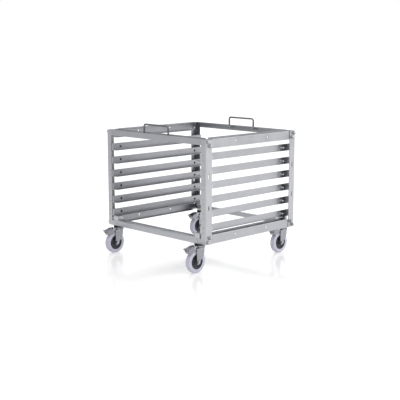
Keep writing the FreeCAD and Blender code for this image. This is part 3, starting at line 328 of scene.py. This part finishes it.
def moulded(name, colours, rough, grain, depth, patch):
    """A moulded plastic or rubber with a fine skin and uneven tone."""
    material, tree, place = start_material(name)
    skin_grain = add(tree, "ShaderNodeTexNoise",
                     {"Vector": place, "Scale": 1 / grain, "Detail": 2.0})
    patches = add(tree, "ShaderNodeTexNoise",
                  {"Vector": place, "Scale": 1 / patch, "Detail": 5.0, "Roughness": 0.65})
    tone = add(tree, "ShaderNodeMapRange", {"Value": patches, "From Min": 0.35, "From Max": 0.65})
    roughness = add(tree, "ShaderNodeMapRange", {
        "Value": patches, "From Min": 0.3, "From Max": 0.7,
        "To Min": rough * 0.85, "To Max": rough * 1.1})
    bump = {"Height": skin_grain, "Distance": depth, "Strength": 0.4}
    end_material(tree, tone, [linear(code) for code in colours], roughness, bump,
                 {"Specular IOR Level": MOULDED_SHINE})
    return material


tyre_rubber = moulded("grey_elastomer", ("#B9B8C7", "#C6C5D3"), 0.6, 0.9 * MM, 0.08 * MM, 18 * MM)
# black nylon of the dust seals, which also paints the shade in the gap under the frame
seal_shade_nylon = moulded("black_nylon_seal_shade", ("#101013", "#1B1B1F"), 0.55, 0.9 * MM, 0.05 * MM, 6 * MM)
core_nylon = moulded("dark_nylon", ("#2F2F37", "#4A4A53"), 0.42, 1.2 * MM, 0.05 * MM, 10 * MM)
print("elastomer and nylon made")

# %% [markdown]
# ## Finish the construction nodes
#
# The folded sheet parts already have their real shape, slots and bend radii, so they stay as they
# are and only get their material. A node's material slots are filled, and the node itself is
# neither moved nor edited.

# %% Give the construction nodes their materials
def starting(*starts):
    return [name for name in nodes if name.startswith(starts)]


def ending(end):
    return [name for name in nodes if name.endswith(end)]


for material, names in (
        (post_steel, starting("post_")),
        (end_steel, starting("end_rail_top_")),
        (low_end_steel, starting("end_rail_bottom_")),
        (side_steel, starting("side_rail_")),
        (runner_steel, [f"runner_{tier}_{side}" for tier in TIERS for side, sx in SIDES]),
        (bracket_steel, starting("brackets_", "castor_sockets")),
        (fork_zinc, ending("_fork") + ["castor_heads"]),
        (pedal_zinc, ending("_pedal")),
        # painted shade: the swivel balls are near-black, as the shade between race and crown
        (dark_heads_and_race_shade, ["swivel_balls"]),
        (fastener_steel, ["handle_fixings", "socket_screws"] + ending("_axle"))):
    for name in names:
        for holder in nodes[name].material_slots:
            holder.material = material
    print(material.name, "on", len(names), "nodes")

# %% [markdown]
# ## Turned and hexagonal shapes
#
# Nuts, washers, rivets, tyres and wheel centres are all a stack of rings about one axis. One
# function skins such a stack. A Screw modifier could turn a round section too, but here a ring
# may also be held inside a hexagon: its radius is then the smaller of a circle and the distance
# to the nearest flat, which gives a chamfered nut its curved corner facets without a boolean.

# %% Skin a stack of rings
FLAT_TURN = math.radians(60)


def skin(shape, rings, sides, loop=False):
    """Add a skin over rings of (height, radius, hexagon's half width or None) to a bmesh."""
    rows = []
    for height, radius, flat in rings:
        if radius == 0:
            rows.append([shape.verts.new((0, 0, height))])
            continue
        row = []
        for i in range(sides):
            angle = 2 * math.pi * i / sides
            reach = radius
            if flat:
                from_flat = (angle + FLAT_TURN / 2) % FLAT_TURN - FLAT_TURN / 2
                reach = min(radius, flat / math.cos(from_flat))
            row.append(shape.verts.new((reach * math.cos(angle), reach * math.sin(angle), height)))
        rows.append(row)
    pairs = list(zip(rows, rows[1:])) + ([(rows[-1], rows[0])] if loop else [])
    for low, high in pairs:
        for i in range(sides):
            j = (i + 1) % sides
            corners = [low[i % len(low)], low[j % len(low)],
                       high[j % len(high)], high[i % len(high)]]
            shape.faces.new(list(dict.fromkeys(corners)))


def in_metres(section):
    """A section in millimetres, as rings that aren't hexagonal."""
    return [(height * MM, radius * MM, None) for height, radius in section]


print("a flat repeats every", round(math.degrees(FLAT_TURN)), "degrees")

# %% [markdown]
# ## From a shape to a piece
#
# A finished piece is a plain mesh at the origin. It rides on one body, so that it moves with it,
# and where it stands for a construction node, that node is hidden. Its edges are smooth, except
# where two faces meet at more than a few tens of degrees.

# %% Meshes and pieces
def to_mesh(name, shape, sharp_degrees=35):
    """Turn a bmesh into a mesh, smooth except at its sharp edges."""
    mesh = bpy.data.meshes.new(name)
    shape.to_mesh(mesh)
    shape.free()
    mesh.shade_smooth()
    mesh.set_sharp_from_angle(angle=math.radians(sharp_degrees))
    return mesh


def to_piece(name, mesh, body, replaced=None, material=None):
    """A finished piece that rides on a body and may stand for a construction node."""
    piece = bpy.data.objects.new(name, mesh)
    bpy.context.scene.collection.objects.link(piece)
    if material is not None:
        mesh.materials.clear()
        mesh.materials.append(material)
    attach(piece, body)
    if replaced:
        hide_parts(replaced)
    print(name, len(mesh.polygons), "faces")


# %% [markdown]
# ## Cap nuts and washers
#
# Every bolt is closed outside by a domed cap nut on a plain washer. A nut is a stack of rings: a
# narrow foot, the chamfered hexagon, a shoulder and the dome. Sizes are those of the low cap nut
# and plain washer, 13 mm across the flats for M8 and 10 mm for M6.

# %% Nuts and washers
SHEET, POST_WALL, WASHER = 2 * MM, 2.5 * MM, 1.6 * MM  # thicknesses
NUT_SIDES, DOME_STEPS = 24, 6
# A nut's width across flats, its hexagon's height and its whole height.
M8_NUT = (13 * MM, 6.6 * MM, 12 * MM)
M6_NUT = (10 * MM, 5.5 * MM, 10 * MM)
# A washer's inner and outer radius.
M8_WASHER = (4.2 * MM, 8.25 * MM)
M6_WASHER = (3.2 * MM, 6 * MM)


def cap_nut_rings(seat, flats, hex_tall, tall):
    """Rings of a chamfered hexagon with a dome, from its seat upwards."""
    half, corner = flats / 2, flats / math.sqrt(3)
    chamfer, dome = half * 0.97, flats * 0.46
    foot, bevel = 0.5 * MM, 1.0 * MM
    shoulder = hex_tall + 0.1 * (tall - hex_tall)
    rings = [(seat, 0, None), (seat, chamfer, None), (seat + foot, corner, half),
             (seat + hex_tall - bevel, corner, half), (seat + hex_tall, chamfer, half),
             (seat + hex_tall, dome, None), (seat + shoulder, dome, None)]
    for step in range(1, DOME_STEPS):
        angle = math.pi / 2 * step / DOME_STEPS
        rise = (tall - shoulder) * math.sin(angle)
        rings.append((seat + shoulder + rise, dome * math.cos(angle), None))
    return rings + [(seat + tall, 0, None)]


def washer_rings(seat, hole, outer):
    """Closed section of a washer with rounded rims."""
    edge = 0.2 * MM
    section = [(0, hole), (0, outer - edge), (edge, outer), (WASHER - edge, outer),
               (WASHER, outer - edge), (WASHER, hole)]
    return [(seat + height, radius, None) for height, radius in section]


print("an M8 cap nut has", len(cap_nut_rings(0, *M8_NUT)), "rings")

# %% [markdown]
# ## Bolts and rivets
#
# Each corner has four M8 bolts, whose hexagon heads lie inside the frame. A runner is held at
# each end by one M6 bolt with a low domed head and a hexagon socket, and its bracket by two blind
# rivets, each with the dimple where its mandrel broke off. Every template stands on zero, which is
# the face that it is set against, and points outwards along Z. A section's points are height and
# radius in millimetres.

# %% Fastener templates
RIVET_SIDES = 16


def corner_fastener():
    """M8 bolt, washer and cap nut; the bolt's head lies below zero."""
    grip, shank = POST_WALL + SHEET, 4 * MM
    half, corner = 6.5 * MM, 7.5 * MM
    head_tall, chamfer = 5.3 * MM, 0.7 * MM
    shape = bmesh.new()
    skin(shape, [(-head_tall, 0, None), (-head_tall, half * 0.95, None),
                 (chamfer - head_tall, corner, half), (0, corner, half),
                 (0, shank, None), (grip, shank, None), (grip, 0, None)], NUT_SIDES)
    skin(shape, washer_rings(grip, *M8_WASHER), NUT_SIDES, loop=True)
    skin(shape, cap_nut_rings(grip + WASHER, *M8_NUT), NUT_SIDES)
    return to_mesh("corner_fastener", shape)


def runner_nut():
    """Washer and low cap nut of an M6 bolt."""
    grip = 2 * SHEET
    shape = bmesh.new()
    skin(shape, washer_rings(grip, *M6_WASHER), NUT_SIDES, loop=True)
    skin(shape, cap_nut_rings(grip + WASHER, *M6_NUT), NUT_SIDES)
    return to_mesh("runner_nut", shape)


def runner_bolt():
    """M6 bolt from the floor of its hexagon socket to the end of its shank, inside the nut."""
    socket_floor, socket_mouth, corner, flat = -1.0 * MM, -2.15 * MM, 2.2 * MM, 1.9 * MM
    socket = [(socket_floor, 0, None), (socket_floor, corner, flat), (socket_mouth, corner, flat)]
    head = [(-2.2, 3.0), (-1.9, 4.4), (-1.1, 5.3), (-0.3, 5.5), (0, 5.45)]
    shank = [(0, 3), (4, 3), (4, 0)]
    shape = bmesh.new()
    skin(shape, socket + in_metres(head + shank), NUT_SIDES)
    return to_mesh("runner_bolt", shape)


def blind_rivet():
    """Blind rivet: a low domed head with the mandrel's dimple, shank and upset tail."""
    tail = [(-5.7, 0), (-5.6, 2.6), (-5.2, 3.7), (-4.8, 4.0), (-4.5, 3.6)]
    shank = [(-4.5, 2.5), (0, 2.5)]
    head = [(0, 4.45), (0.25, 4.45), (0.65, 3.6), (0.92, 2.4), (1.0, 1.35)]
    dimple = [(0.45, 1.1), (0.4, 0)]
    shape = bmesh.new()
    skin(shape, in_metres(tail + shank + head + dimple), RIVET_SIDES)
    return to_mesh("blind_rivet", shape)


templates = [corner_fastener(), runner_nut(), runner_bolt(), blind_rivet()]
for template in templates:
    print(template.name, len(template.polygons), "faces")

# %% [markdown]
# ## Set copies out with Geometry Nodes
#
# Every copy is the same, so one template is set out many times. A loop could do it, but a tree
# shows its sizes as named inputs and keeps the copies in one mesh. A point for each copy carries
# the direction that faces outwards. The tree takes the points, the template, the finish, how far
# a copy may be turned and a seed. It aligns the template's Z axis with the outward direction,
# turns it about that axis by a random angle, as a spanner leaves a nut, and places it. Realize
# Instances makes one mesh of the copies, because loose instances are lost when the object is
# exported.

# %% The setting-out tree
MOST_FLOAT, RANDOM_FLOAT = 3, 1  # a Random Value node's upper limit and output for a float


def new_tree(name, inputs):
    """A geometry tree with named inputs after its geometry, and the outputs that give them."""
    tree = bpy.data.node_groups.new(name, "GeometryNodeTree")
    tree.interface.new_socket("Geometry", in_out="INPUT", socket_type="NodeSocketGeometry")
    for label, kind in inputs:
        tree.interface.new_socket(label, in_out="INPUT", socket_type="NodeSocket" + kind)
    tree.interface.new_socket("Geometry", in_out="OUTPUT", socket_type="NodeSocketGeometry")
    return tree, add(tree, "NodeGroupInput").outputs


def end_tree(tree, shape, finish):
    """Make the copies real, give them their finish and hand them out."""
    real = add(tree, "GeometryNodeRealizeInstances", {"Geometry": shape})
    coloured = add(tree, "GeometryNodeSetMaterial", {"Geometry": real, "Material": finish})
    add(tree, "NodeGroupOutput", {"Geometry": coloured})
    return tree


def set_out_tree():
    tree, given = new_tree("set_out_copies", [
        ("Template", "Object"), ("Finish", "Material"), ("Most turn", "Float"), ("Seed", "Int")])
    outward = add(tree, "GeometryNodeInputNamedAttribute", {"Name": "outward"},
                  data_type="FLOAT_VECTOR")
    facing = add(tree, "FunctionNodeAlignRotationToVector", {"Vector": outward}, axis="Z")
    turn = add(tree, "FunctionNodeRandomValue", {MOST_FLOAT: given["Most turn"],
                                                 "Seed": given["Seed"]}, data_type="FLOAT")
    spin = add(tree, "FunctionNodeAxisAngleToRotation",
               {"Axis": (0, 0, 1), "Angle": turn.outputs[RANDOM_FLOAT]})
    both = add(tree, "FunctionNodeRotateRotation", {"Rotation": facing, "Rotate By": spin},
               rotation_space="LOCAL")
    template = add(tree, "GeometryNodeObjectInfo", {"Object": given["Template"]})
    copies = add(tree, "GeometryNodeInstanceOnPoints", {
        "Points": given["Geometry"], "Instance": template.outputs["Geometry"], "Rotation": both})
    return end_tree(tree, copies, given["Finish"])


set_out = set_out_tree()
print("setting-out tree has", len(set_out.nodes), "nodes")

# %% [markdown]
# ## Run a tree
#
# A tree runs as a modifier on a stand-in object. Its inputs are set by their identifiers before
# anything is evaluated. The result is copied to a plain mesh, and the stand-in and its modifier
# are dropped, so that only finished meshes are left.

# %% Evaluate a tree and keep its mesh
def run_tree(source, tree, values):
    """Evaluate a tree on an object, keep the result as a plain mesh and drop the object."""
    bpy.context.scene.collection.objects.link(source)
    modifier = source.modifiers.new("build", "NODES")
    modifier.node_group = tree
    for socket in tree.interface.items_tree:
        if socket.in_out == "INPUT" and socket.name in values:
            modifier[socket.identifier] = values[socket.name]
    bpy.context.view_layer.update()
    evaluated = source.evaluated_get(bpy.context.evaluated_depsgraph_get())
    mesh = bpy.data.meshes.new_from_object(evaluated)
    source.modifiers.remove(modifier)
    bpy.data.objects.remove(source)
    return mesh


def copies_at(name, template_mesh, places, finish, most_turn, seed):
    """A mesh of one template at every (point, outward direction)."""
    points = bpy.data.meshes.new(name + "_points")
    points.from_pydata([place for place, outward in places], [], [])
    facing = points.attributes.new("outward", "FLOAT_VECTOR", "POINT")
    for value, (place, outward) in zip(facing.data, places):
        value.vector = outward
    template = bpy.data.objects.new(name + "_template", template_mesh)
    bpy.context.scene.collection.objects.link(template)
    mesh = run_tree(bpy.data.objects.new(name + "_points", points), set_out, {
        "Template": template, "Finish": finish, "Most turn": most_turn, "Seed": seed})
    bpy.data.objects.remove(template)
    return mesh


print("inputs:", [item.name for item in set_out.interface.items_tree if item.in_out == "INPUT"])

# %% [markdown]
# ## Where the fasteners sit
#
# The corner bolts go through a post and the side rail behind it, two above and two below. The
# runner bolts stand halfway up each runner, the same distance in from both ends. The rivets hold
# each bracket to the post's end flange. All places are measured from the box of the post or
# runner that they hold.

# %% Places of the fasteners
# In mm: in from the post's end face, and up from its foot or, where negative, down from the
# flange that lies on its top.
CORNER_BOLTS = ((12, -10), (24, -28), (24, 29), (12, 11))
RUNNER_BOLT_INSET = 50 * MM
RIVET_INSET, RIVET_RISE = 14.6 * MM, 11 * MM


def outer(box, axis, sign):
    """The outer face of a box along an axis."""
    return box[1][axis] if sign > 0 else box[0][axis]


corner_places, runner_places, rivet_places = [], [], []
for end, sy in ENDS:
    for side, sx in SIDES:
        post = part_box(f"post_{end}_{side}")
        face_x, face_y = outer(post, 0, sx), outer(post, 1, sy)
        foot, top = post[0].z, post[1].z + SHEET
        seat_x = face_x - sx * (POST_WALL + SHEET)
        for inset, level in CORNER_BOLTS:
            z = (foot if level > 0 else top) + level * MM
            spot = Vector((seat_x, face_y - sy * inset * MM, z))
            corner_places.append((spot, Vector((sx, 0, 0))))
        for tier in TIERS:
            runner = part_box(f"runner_{tier}_{side}")
            middle = (runner[0].z + runner[1].z) / 2
            wall_x = outer(runner, 0, sx) - sx * SHEET
            spot = Vector((wall_x, face_y - sy * RUNNER_BOLT_INSET, middle))
            runner_places.append((spot, Vector((sx, 0, 0))))
            for rise in (-RIVET_RISE, RIVET_RISE):
                spot = Vector((face_x - sx * RIVET_INSET, face_y, middle + rise))
                rivet_places.append((spot, Vector((0, sy, 0))))
print(len(corner_places), "corner,", len(runner_places), "runner,", len(rivet_places), "rivets")

# %% [markdown]
# ## The fasteners
#
# Four runs of the same tree make the four kinds. A hexagon looks the same after a sixth of a
# turn, so that is the most that a copy is turned, and each kind has its own seed.

# %% Set out the fasteners
corner_template, nut_template, bolt_template, rivet_template = templates
for name, template, places, finish, replaced, slot_name, seed in (
        ("corner_cap_nuts", corner_template, corner_places, fastener_steel,
         "corner_bolts", "fastener_steel", 3),
        ("runner_cap_nuts", nut_template, runner_places, fastener_steel,
         "runner_bolts", "fastener_steel", 5),
        ("runner_bolt_heads", bolt_template, runner_places, dark_heads_and_race_shade,
         "runner_bolts", "fastener_steel", 11),
        ("bracket_rivet_heads", rivet_template, rivet_places, rivet_metal,
         "bracket_rivets", "rivet_aluminium", 7)):
    mesh = copies_at(name, template, places, finish, FLAT_TURN, seed)
    to_piece(name, mesh, "frame", replaced)

# %% [markdown]
# ## Dust seals of the castors, whose black paints the shade under the frame
#
# A swivel castor keeps dirt out of its upper ball race with a black nylon ring, which sits on the
# race round the collar, fills the gap below the frame and laps over the race's rim. Its black also
# paints in the shade of that gap. It is one turned ring with soft rims, so the ring function makes
# it and the setting-out tree places it four times. Each ring lies on its castor's swivel axis,
# which the joints give, with its top at the lower edge of the posts. A section's points are height
# and radius in millimetres.

# %% Turn the dust seals, black as the shade in the gap
SEAL_AND_SHADE_SIDES = 64
SEAL_AND_SHADE_SEED = 13


def seal_and_shade_ring():
    """Closed section of the ring, from its top downwards, with a shallow groove round its rim."""
    section = [(-5.7, 18.2), (-0.3, 18.2), (-0.3, 23.0), (-0.9, 23.7), (-2.4, 23.7), (-3.0, 23.1),
               (-3.6, 23.7), (-7.4, 23.7), (-7.9, 23.5), (-7.9, 23.15), (-5.7, 23.15)]
    shape = bmesh.new()
    skin(shape, in_metres(section), SEAL_AND_SHADE_SIDES, loop=True)
    bmesh.ops.recalc_face_normals(shape, faces=shape.faces)
    return to_mesh("seal_and_shade_ring", shape)


swivel_axes = [joint["pos_m"] for joint in frame["joints"] if joint["name"].startswith("swivel_")]
frame_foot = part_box("post_front_left")[0].z
seal_and_shade_places = [(Vector((x, y, frame_foot)), Vector((0, 0, 1))) for x, y, z in swivel_axes]
seal_and_shade_mesh = copies_at("castor_seals", seal_and_shade_ring(), seal_and_shade_places, seal_shade_nylon, 0.0, SEAL_AND_SHADE_SEED)
to_piece("castor_seals", seal_and_shade_mesh, "frame")

# %% [markdown]
# ## Handles from a bent rod
#
# A handle is a rod with two bends. Its path is three straight lines, and a Fillet Curve node
# rounds the two corners to the bend radius, as a bending tool does. Curve to Mesh then sweeps a
# circle along the path. A curve's own bevel would give the same rod, but the tree keeps rod and
# bend radius as inputs. The rod's ends are closed and pass through the top flange.

# %% Bend the handle rods
ROD, BEND = 8 * MM, 10 * MM
BEND_STEPS, ROD_SIDES = 12, 32
ROD_SHARP_DEGREES = 40


def rod_tree():
    tree, given = new_tree("bend_rod", [
        ("Rod radius", "Float"), ("Bend radius", "Float"), ("Steps in a bend", "Int"),
        ("Sides", "Int"), ("Finish", "Material")])
    bent = add(tree, "GeometryNodeFilletCurve", {
        "Curve": given["Geometry"], "Radius": given["Bend radius"],
        "Count": given["Steps in a bend"]}, mode="POLY")
    section = add(tree, "GeometryNodeCurvePrimitiveCircle",
                  {"Radius": given["Rod radius"], "Resolution": given["Sides"]})
    swept = add(tree, "GeometryNodeCurveToMesh",
                {"Curve": bent, "Profile Curve": section, "Fill Caps": True})
    return end_tree(tree, swept, given["Finish"])


bend_rod = rod_tree()
for end, sy in ENDS:
    low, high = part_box(f"handle_{end}")
    inset = ROD / 2
    y = (low.y + high.y) / 2
    left, right, grip = low.x + inset, high.x - inset, high.z - inset
    corners = [(left, y, low.z), (left, y, grip), (right, y, grip), (right, y, low.z)]
    path = bpy.data.curves.new(f"handle_path_{end}", "CURVE")
    path.dimensions = "3D"
    line = path.splines.new("POLY")
    line.points.add(len(corners) - 1)
    for point, corner in zip(line.points, corners):
        point.co = (*corner, 1)
    mesh = run_tree(bpy.data.objects.new(f"handle_path_{end}", path), bend_rod, {
        "Rod radius": ROD / 2, "Bend radius": BEND, "Steps in a bend": BEND_STEPS,
        "Sides": ROD_SIDES, "Finish": bright_steel})
    mesh.shade_smooth()
    mesh.set_sharp_from_angle(angle=math.radians(ROD_SHARP_DEGREES))
    to_piece(f"handle_rod_{end}", mesh, "frame", f"handle_{end}")

# %% [markdown]
# ## Sections of a wheel
#
# A wheel is a moulded centre with a thick tyre. Both are turned shapes, so each is given as the
# right half of its closed section, in (height, radius) about the axle, and mirrored. The tyre's
# shoulders are quarter rounds, and its side has the shallow step where the mould met the rim. The
# centre has a hub, a thin disc with a raised bead, and a rim; hub and rim run into the disc with
# a wide root, as a moulding needs.

# %% Tyre and wheel centre sections
SHOULDER_STEPS = 8
RIM_HALF_WIDTH = 10.5 * MM


def arc(centre_h, centre_r, radius, first, last, steps):
    """Points (height, radius from the axis) round an arc, in degrees from the outward direction."""
    points = []
    for i in range(steps + 1):
        angle = math.radians(first + (last - first) * i / steps)
        points.append((centre_h + radius * math.sin(angle), centre_r + radius * math.cos(angle)))
    return points


def tyre_section(radius, inner, half):
    """The tyre, from its inner face round the tread."""
    shoulder, step = 4 * MM, 0.6 * MM
    rim_line = inner + 3 * MM
    right = [(half - step, inner), (half - step, rim_line - step), (half, rim_line)]
    right += arc(half - shoulder, radius - shoulder, shoulder, 90, 0, SHOULDER_STEPS)
    left = [(-height, distance) for height, distance in reversed(right)]
    return [(height, distance, None) for height, distance in left + right]


def core_section(rim, half_rim, half_hub):
    """The wheel centre, from its bore over the disc to the rim."""
    bore, hub, rim_wall = 6.05 * MM, 12 * MM, 4 * MM
    disc, bead = 2.5 * MM, 1.2 * MM
    bead_inner, bead_outer, bead_slope = 20 * MM, 22 * MM, 1 * MM
    root_tall, root_wide, draft = 2 * MM, 2.5 * MM, 0.3 * MM
    hub_chamfer, rim_chamfer = 1 * MM, 0.8 * MM
    rim_inner = rim - rim_wall
    right = [(half_hub, bore), (half_hub, hub - hub_chamfer), (half_hub - hub_chamfer, hub),
             (disc + root_tall, hub + draft), (disc, hub + root_wide),
             (disc, bead_inner - bead_slope), (disc + bead, bead_inner),
             (disc + bead, bead_outer), (disc, bead_outer + bead_slope),
             (disc, rim_inner - root_wide), (disc + root_tall, rim_inner - draft),
             (half_rim - rim_chamfer, rim_inner), (half_rim, rim_inner + rim_chamfer),
             (half_rim, rim)]
    left = [(-height, distance) for height, distance in right]
    return [(height, distance, None) for height, distance in left + list(reversed(right))]


print("a shoulder is drawn with", SHOULDER_STEPS, "steps")

# %% [markdown]
# ## Wheels
#
# The ring function works about Z, and one matrix lays the result along X at the axle. Radii and
# widths come from the boxes of the construction's tyre and wheel, so the turned pieces fit in the
# fork as those do.

# %% Turn the wheels
WHEEL_SIDES = 96
WHEEL_SHARP_DEGREES = 30

for castor in CASTORS:
    low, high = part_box(f"castor_{castor}_tyre")
    core_low, core_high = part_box(f"castor_{castor}_wheel")
    radius, rim = (high.z - low.z) / 2, (core_high.z - core_low.z) / 2
    half_tyre, half_hub = (high.x - low.x) / 2, (core_high.x - core_low.x) / 2
    axle = Matrix.Translation((low + high) / 2) @ Matrix.Rotation(math.radians(90), 4, "Y")
    for part, section, material, slot_name in (
            ("tyre", tyre_section(radius, rim, half_tyre), tyre_rubber, "tyre_rubber"),
            ("wheel", core_section(rim, RIM_HALF_WIDTH, half_hub), core_nylon, "wheel_core")):
        shape = bmesh.new()
        skin(shape, section, WHEEL_SIDES, loop=True)
        bmesh.ops.recalc_face_normals(shape, faces=shape.faces)
        shape.transform(axle)
        mesh = to_mesh(f"{part}_{castor}", shape, WHEEL_SHARP_DEGREES)
        to_piece(f"turned_{part}_{castor}", mesh, f"wheel_{castor}",
                 f"castor_{castor}_{part}", material)

# %% [markdown]
# ## Floor
#
# The rack stands on a plain white floor that runs out of sight. To the camera it is a glossy
# light paint, which mirrors the wheels faintly, and it glows a little, so that it shows as white
# and still holds the rack's shadow. More lamp light would whiten it too, but the steel with it.
# To every other ray it is a matt white. Light Path tells which of the two a ray meets, and lets
# what mirrors the floor see it as bright.

# %% Lay the floor
FLOOR_HALF_SIZE = 12
FLOOR_MOTTLE = 400 * MM
FLOOR_ROUGHNESS = 0.12
FLOOR_GLOW, MIRROR_GLOW = 0.39, 0.2


def ray_kinds(tree):
    """Whether a ray comes from the camera, and whether it was mirrored or went through glass."""
    rays = add(tree, "ShaderNodeLightPath").outputs
    mirrored = add(tree, "ShaderNodeMath",
                   {0: rays["Is Glossy Ray"], 1: rays["Is Transmission Ray"]}, operation="MAXIMUM")
    return rays["Is Camera Ray"], mirrored


def floor_paint():
    """Glossy and glowing to the camera, matt white to every other ray."""
    material, tree, place = start_material("white_studio_floor")
    mottle = add(tree, "ShaderNodeTexNoise",
                 {"Vector": place, "Scale": 1 / FLOOR_MOTTLE, "Detail": 2.0})
    seen_paint, lit_paint = [
        add(tree, "ShaderNodeMix", {0: mottle, COLOUR_A: linear(dark), COLOUR_B: linear(light)},
            data_type="RGBA").outputs[COLOUR_MIX]
        for dark, light in (("#C9C9C9", "#CDCDCD"), ("#EDEDED", "#F2F2F2"))]
    from_camera, mirrored = ray_kinds(tree)
    glow = add(tree, "ShaderNodeMath", {0: from_camera, 1: FLOOR_GLOW}, operation="MULTIPLY")
    seen = add(tree, "ShaderNodeBsdfPrincipled", {
        "Base Color": seen_paint, "Roughness": FLOOR_ROUGHNESS, "Specular IOR Level": 1.0,
        "Emission Color": WHITE, "Emission Strength": glow})
    bright = add(tree, "ShaderNodeMath", {0: mirrored, 1: MIRROR_GLOW}, operation="MULTIPLY")
    lit = add(tree, "ShaderNodeAddShader", {
        0: add(tree, "ShaderNodeBsdfDiffuse", {"Color": lit_paint}),
        1: add(tree, "ShaderNodeEmission", {"Strength": bright})})
    both = add(tree, "ShaderNodeMixShader", {0: from_camera, 1: lit, 2: seen})
    add(tree, "ShaderNodeOutputMaterial", {"Surface": both})
    return material


ground = bmesh.new()
bmesh.ops.create_grid(ground, x_segments=1, y_segments=1, size=FLOOR_HALF_SIZE)
floor = bpy.data.objects.new("floor", to_mesh("floor", ground))
bpy.context.scene.collection.objects.link(floor)
floor.data.materials.append(floor_paint())
print("floor", 2 * FLOOR_HALF_SIZE, "m square")

# %% [markdown]
# ## Sky
#
# The sky is white to the camera and in reflections, so that the rack stands on white and its
# metal mirrors white. As a light it is dimmer, which leaves the shading to the lamps.

# %% Hang the sky
SKY_LIGHT = 0.7

world = bpy.data.worlds.new("studio")
bpy.context.scene.world = world
world.use_nodes = True
world.node_tree.nodes.clear()
from_camera, mirrored = ray_kinds(world.node_tree)
seen = add(world.node_tree, "ShaderNodeMath", {0: from_camera, 1: mirrored}, operation="MAXIMUM")
strength = add(world.node_tree, "ShaderNodeMapRange",
               {"Value": seen, "To Min": SKY_LIGHT, "To Max": 1.0})
sky = add(world.node_tree, "ShaderNodeBackground", {"Color": WHITE, "Strength": strength})
add(world.node_tree, "ShaderNodeOutputWorld", {"Surface": sky})
print("sky's light", SKY_LIGHT)

# %% [markdown]
# ## Lamps
#
# Three broad softboxes stay at a level where a colour renders about as written. Those behind and
# above brighten the faces that look right and up, so that the two visible sides of the frame
# differ in tone. A softbox is set by its radiance, which is what a polished part mirrors, and its
# power follows from its area.

# %% Place the softboxes
SOFTBOXES = (  # name, place and side in metres, radiance
    ("back_right_softbox", (2.6, 2.2, 2.2), 3.4, 1.75),
    ("overhead_softbox", (-0.6, 0.8, 3.4), 4.2, 1.25),
    ("front_right_softbox", (3.2, -1.2, 1.8), 2.4, 0.95))

for name, place, side, radiance in SOFTBOXES:
    light = bpy.data.lights.new(name, "AREA")
    light.shape = "SQUARE"
    light.size = side
    light.energy = radiance * side * side * math.pi
    lamp = bpy.data.objects.new(name, light)
    lamp.visible_camera = False
    bpy.context.scene.collection.objects.link(lamp)
    lamp.location = place
    lamp.rotation_euler = (rack_middle - Vector(place)).to_track_quat("-Z", "Y").to_euler()
    print(name, round(light.energy, 1), "W")

# %% [markdown]
# ## Camera
#
# The view is from the front right corner, a little above the rack and with a long lens, so the
# verticals stay nearly parallel. The camera's place is measured from the middle of the frame on
# the floor, in metres, and its direction is given as two angles, in degrees.

# %% Camera
YAW, PITCH = 45.185, 9.9125
FROM_MIDDLE = Vector((3.0004, -2.985, 0.9899))
LENS, SENSOR = 80.81, 36  # millimetres

camera_data = bpy.data.cameras.new("camera")
camera_data.sensor_width = SENSOR
camera_data.lens = LENS
camera = bpy.data.objects.new("camera", camera_data)
bpy.context.scene.collection.objects.link(camera)
camera.location = Vector((rack_middle.x, rack_middle.y, 0)) + FROM_MIDDLE
camera.rotation_euler = (math.radians(90 - PITCH), 0, math.radians(YAW))
bpy.context.scene.camera = camera
bpy.context.scene.view_settings.view_transform = "Standard"
print("camera at", [round(v, 3) for v in camera.location])
